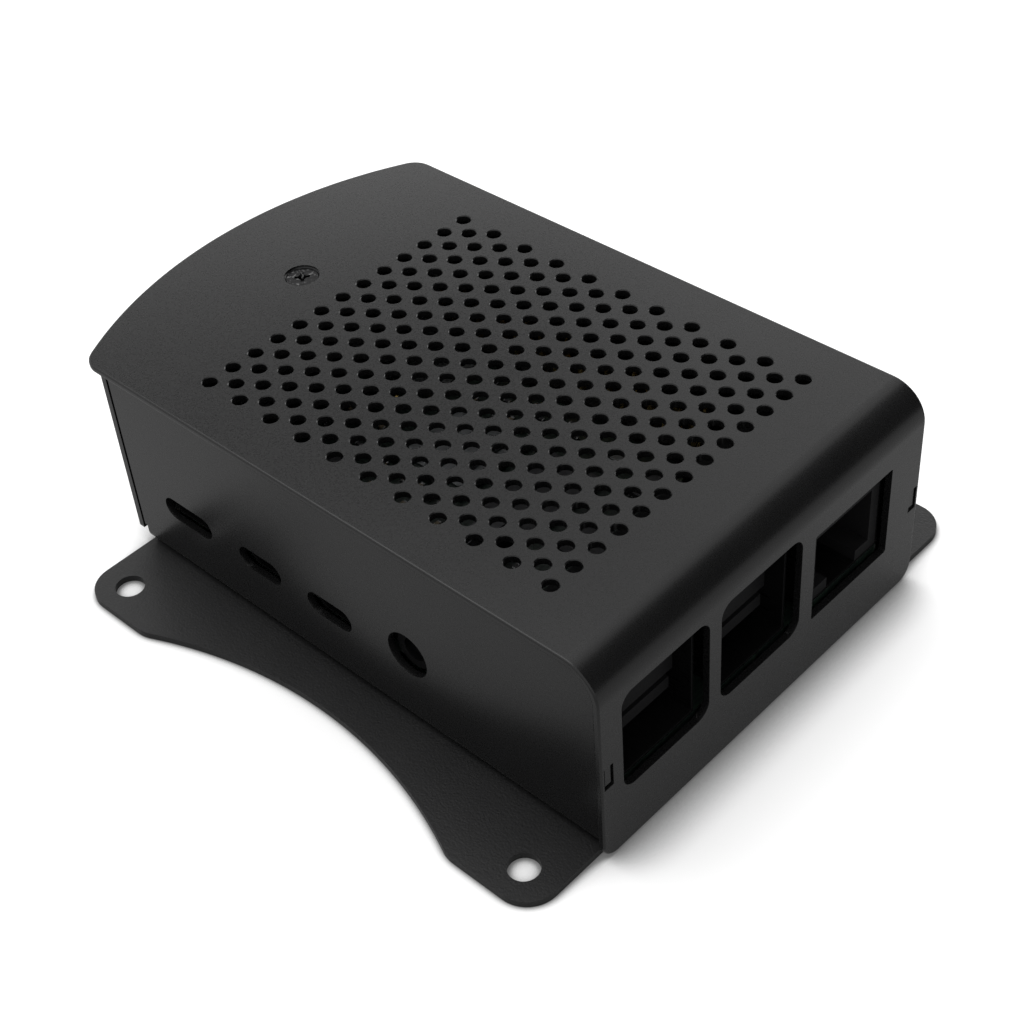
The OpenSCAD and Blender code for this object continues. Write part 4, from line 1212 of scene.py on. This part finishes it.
def softbox(name, place, aim, size, power):
    light = bpy.data.lights.new(name, "AREA")
    light.shape = "RECTANGLE"
    light.size, light.size_y = size
    light.energy = power
    obj = bpy.data.objects.new(name, light)
    bpy.context.scene.collection.objects.link(obj)
    obj.location = place
    obj.rotation_euler = (Vector(aim) - Vector(place)).to_track_quat("-Z", "Y").to_euler()


def dark_card(name, place, aim, size):
    """A black card that only mirrored rays see, which shapes the sheen on one side of the object."""
    bm = bmesh.new()
    bmesh.ops.create_grid(bm, x_segments=1, y_segments=1, size=0.5)
    bmesh.ops.scale(bm, vec=(*size, 1), verts=bm.verts)
    turn = (Vector(aim) - Vector(place)).to_track_quat("Z", "Y").to_matrix().to_4x4()
    bmesh.ops.transform(bm, matrix=Matrix.Translation(place) @ turn, verts=bm.verts)
    card = linked(name, bm)
    mat = bpy.data.materials.new(name)
    mat.use_nodes = True
    tree = mat.node_tree
    feed(tree, tree.nodes["Principled BSDF"], {"Base Color": (0.02, 0.02, 0.02, 1), "Roughness": 1.0})
    card.data.materials.append(mat)
    card.visible_camera = False
    card.visible_diffuse = False
    card.visible_shadow = False


white_floor(half_size=0.9, drop=0.00004)
white_room()
softbox("rear_softbox", place=(-0.46, 0.80, 0.25), aim=(0, 0, 0.02), size=(1.4, 0.42), power=3.7)
softbox("high_softbox", place=(-0.38, -0.05, 1.08), aim=(0, 0, 0.02), size=(1.0, 1.0), power=6.4)
dark_card("side_card", place=(0.46, 0.38, 0.36), aim=(0, 0, 0.03), size=(0.9, 0.8))
dark_card("rear_card", place=(-0.474, 0.274, 0.466), aim=(0, 0, 0.03), size=(0.40, 0.15))

# The camera that was fitted to the photo
PHOTO_PIXELS = 1010
FOCAL_PIXELS = 1852.77
SENSOR = 36
CAMERA_PLACE = (0.136092, -0.131103, 0.179028)
CAMERA_RIGHT = Vector((0.730182, 0.680185, -0.064671))
CAMERA_DOWN = Vector((0.419726, -0.521227, -0.743069))
CAMERA_AHEAD = Vector((-0.539133, 0.515432, -0.666082))

lens = bpy.data.cameras.new("camera")
lens.sensor_width = SENSOR
lens.lens = SENSOR * FOCAL_PIXELS / PHOTO_PIXELS
lens.clip_start = 0.01
camera = bpy.data.objects.new("camera", lens)
bpy.context.scene.collection.objects.link(camera)
view = Matrix((CAMERA_RIGHT, -CAMERA_DOWN, -CAMERA_AHEAD)).transposed().to_4x4()
view.translation = CAMERA_PLACE
camera.matrix_world = view
bpy.context.scene.camera = camera
bpy.context.scene.view_settings.view_transform = "Standard"
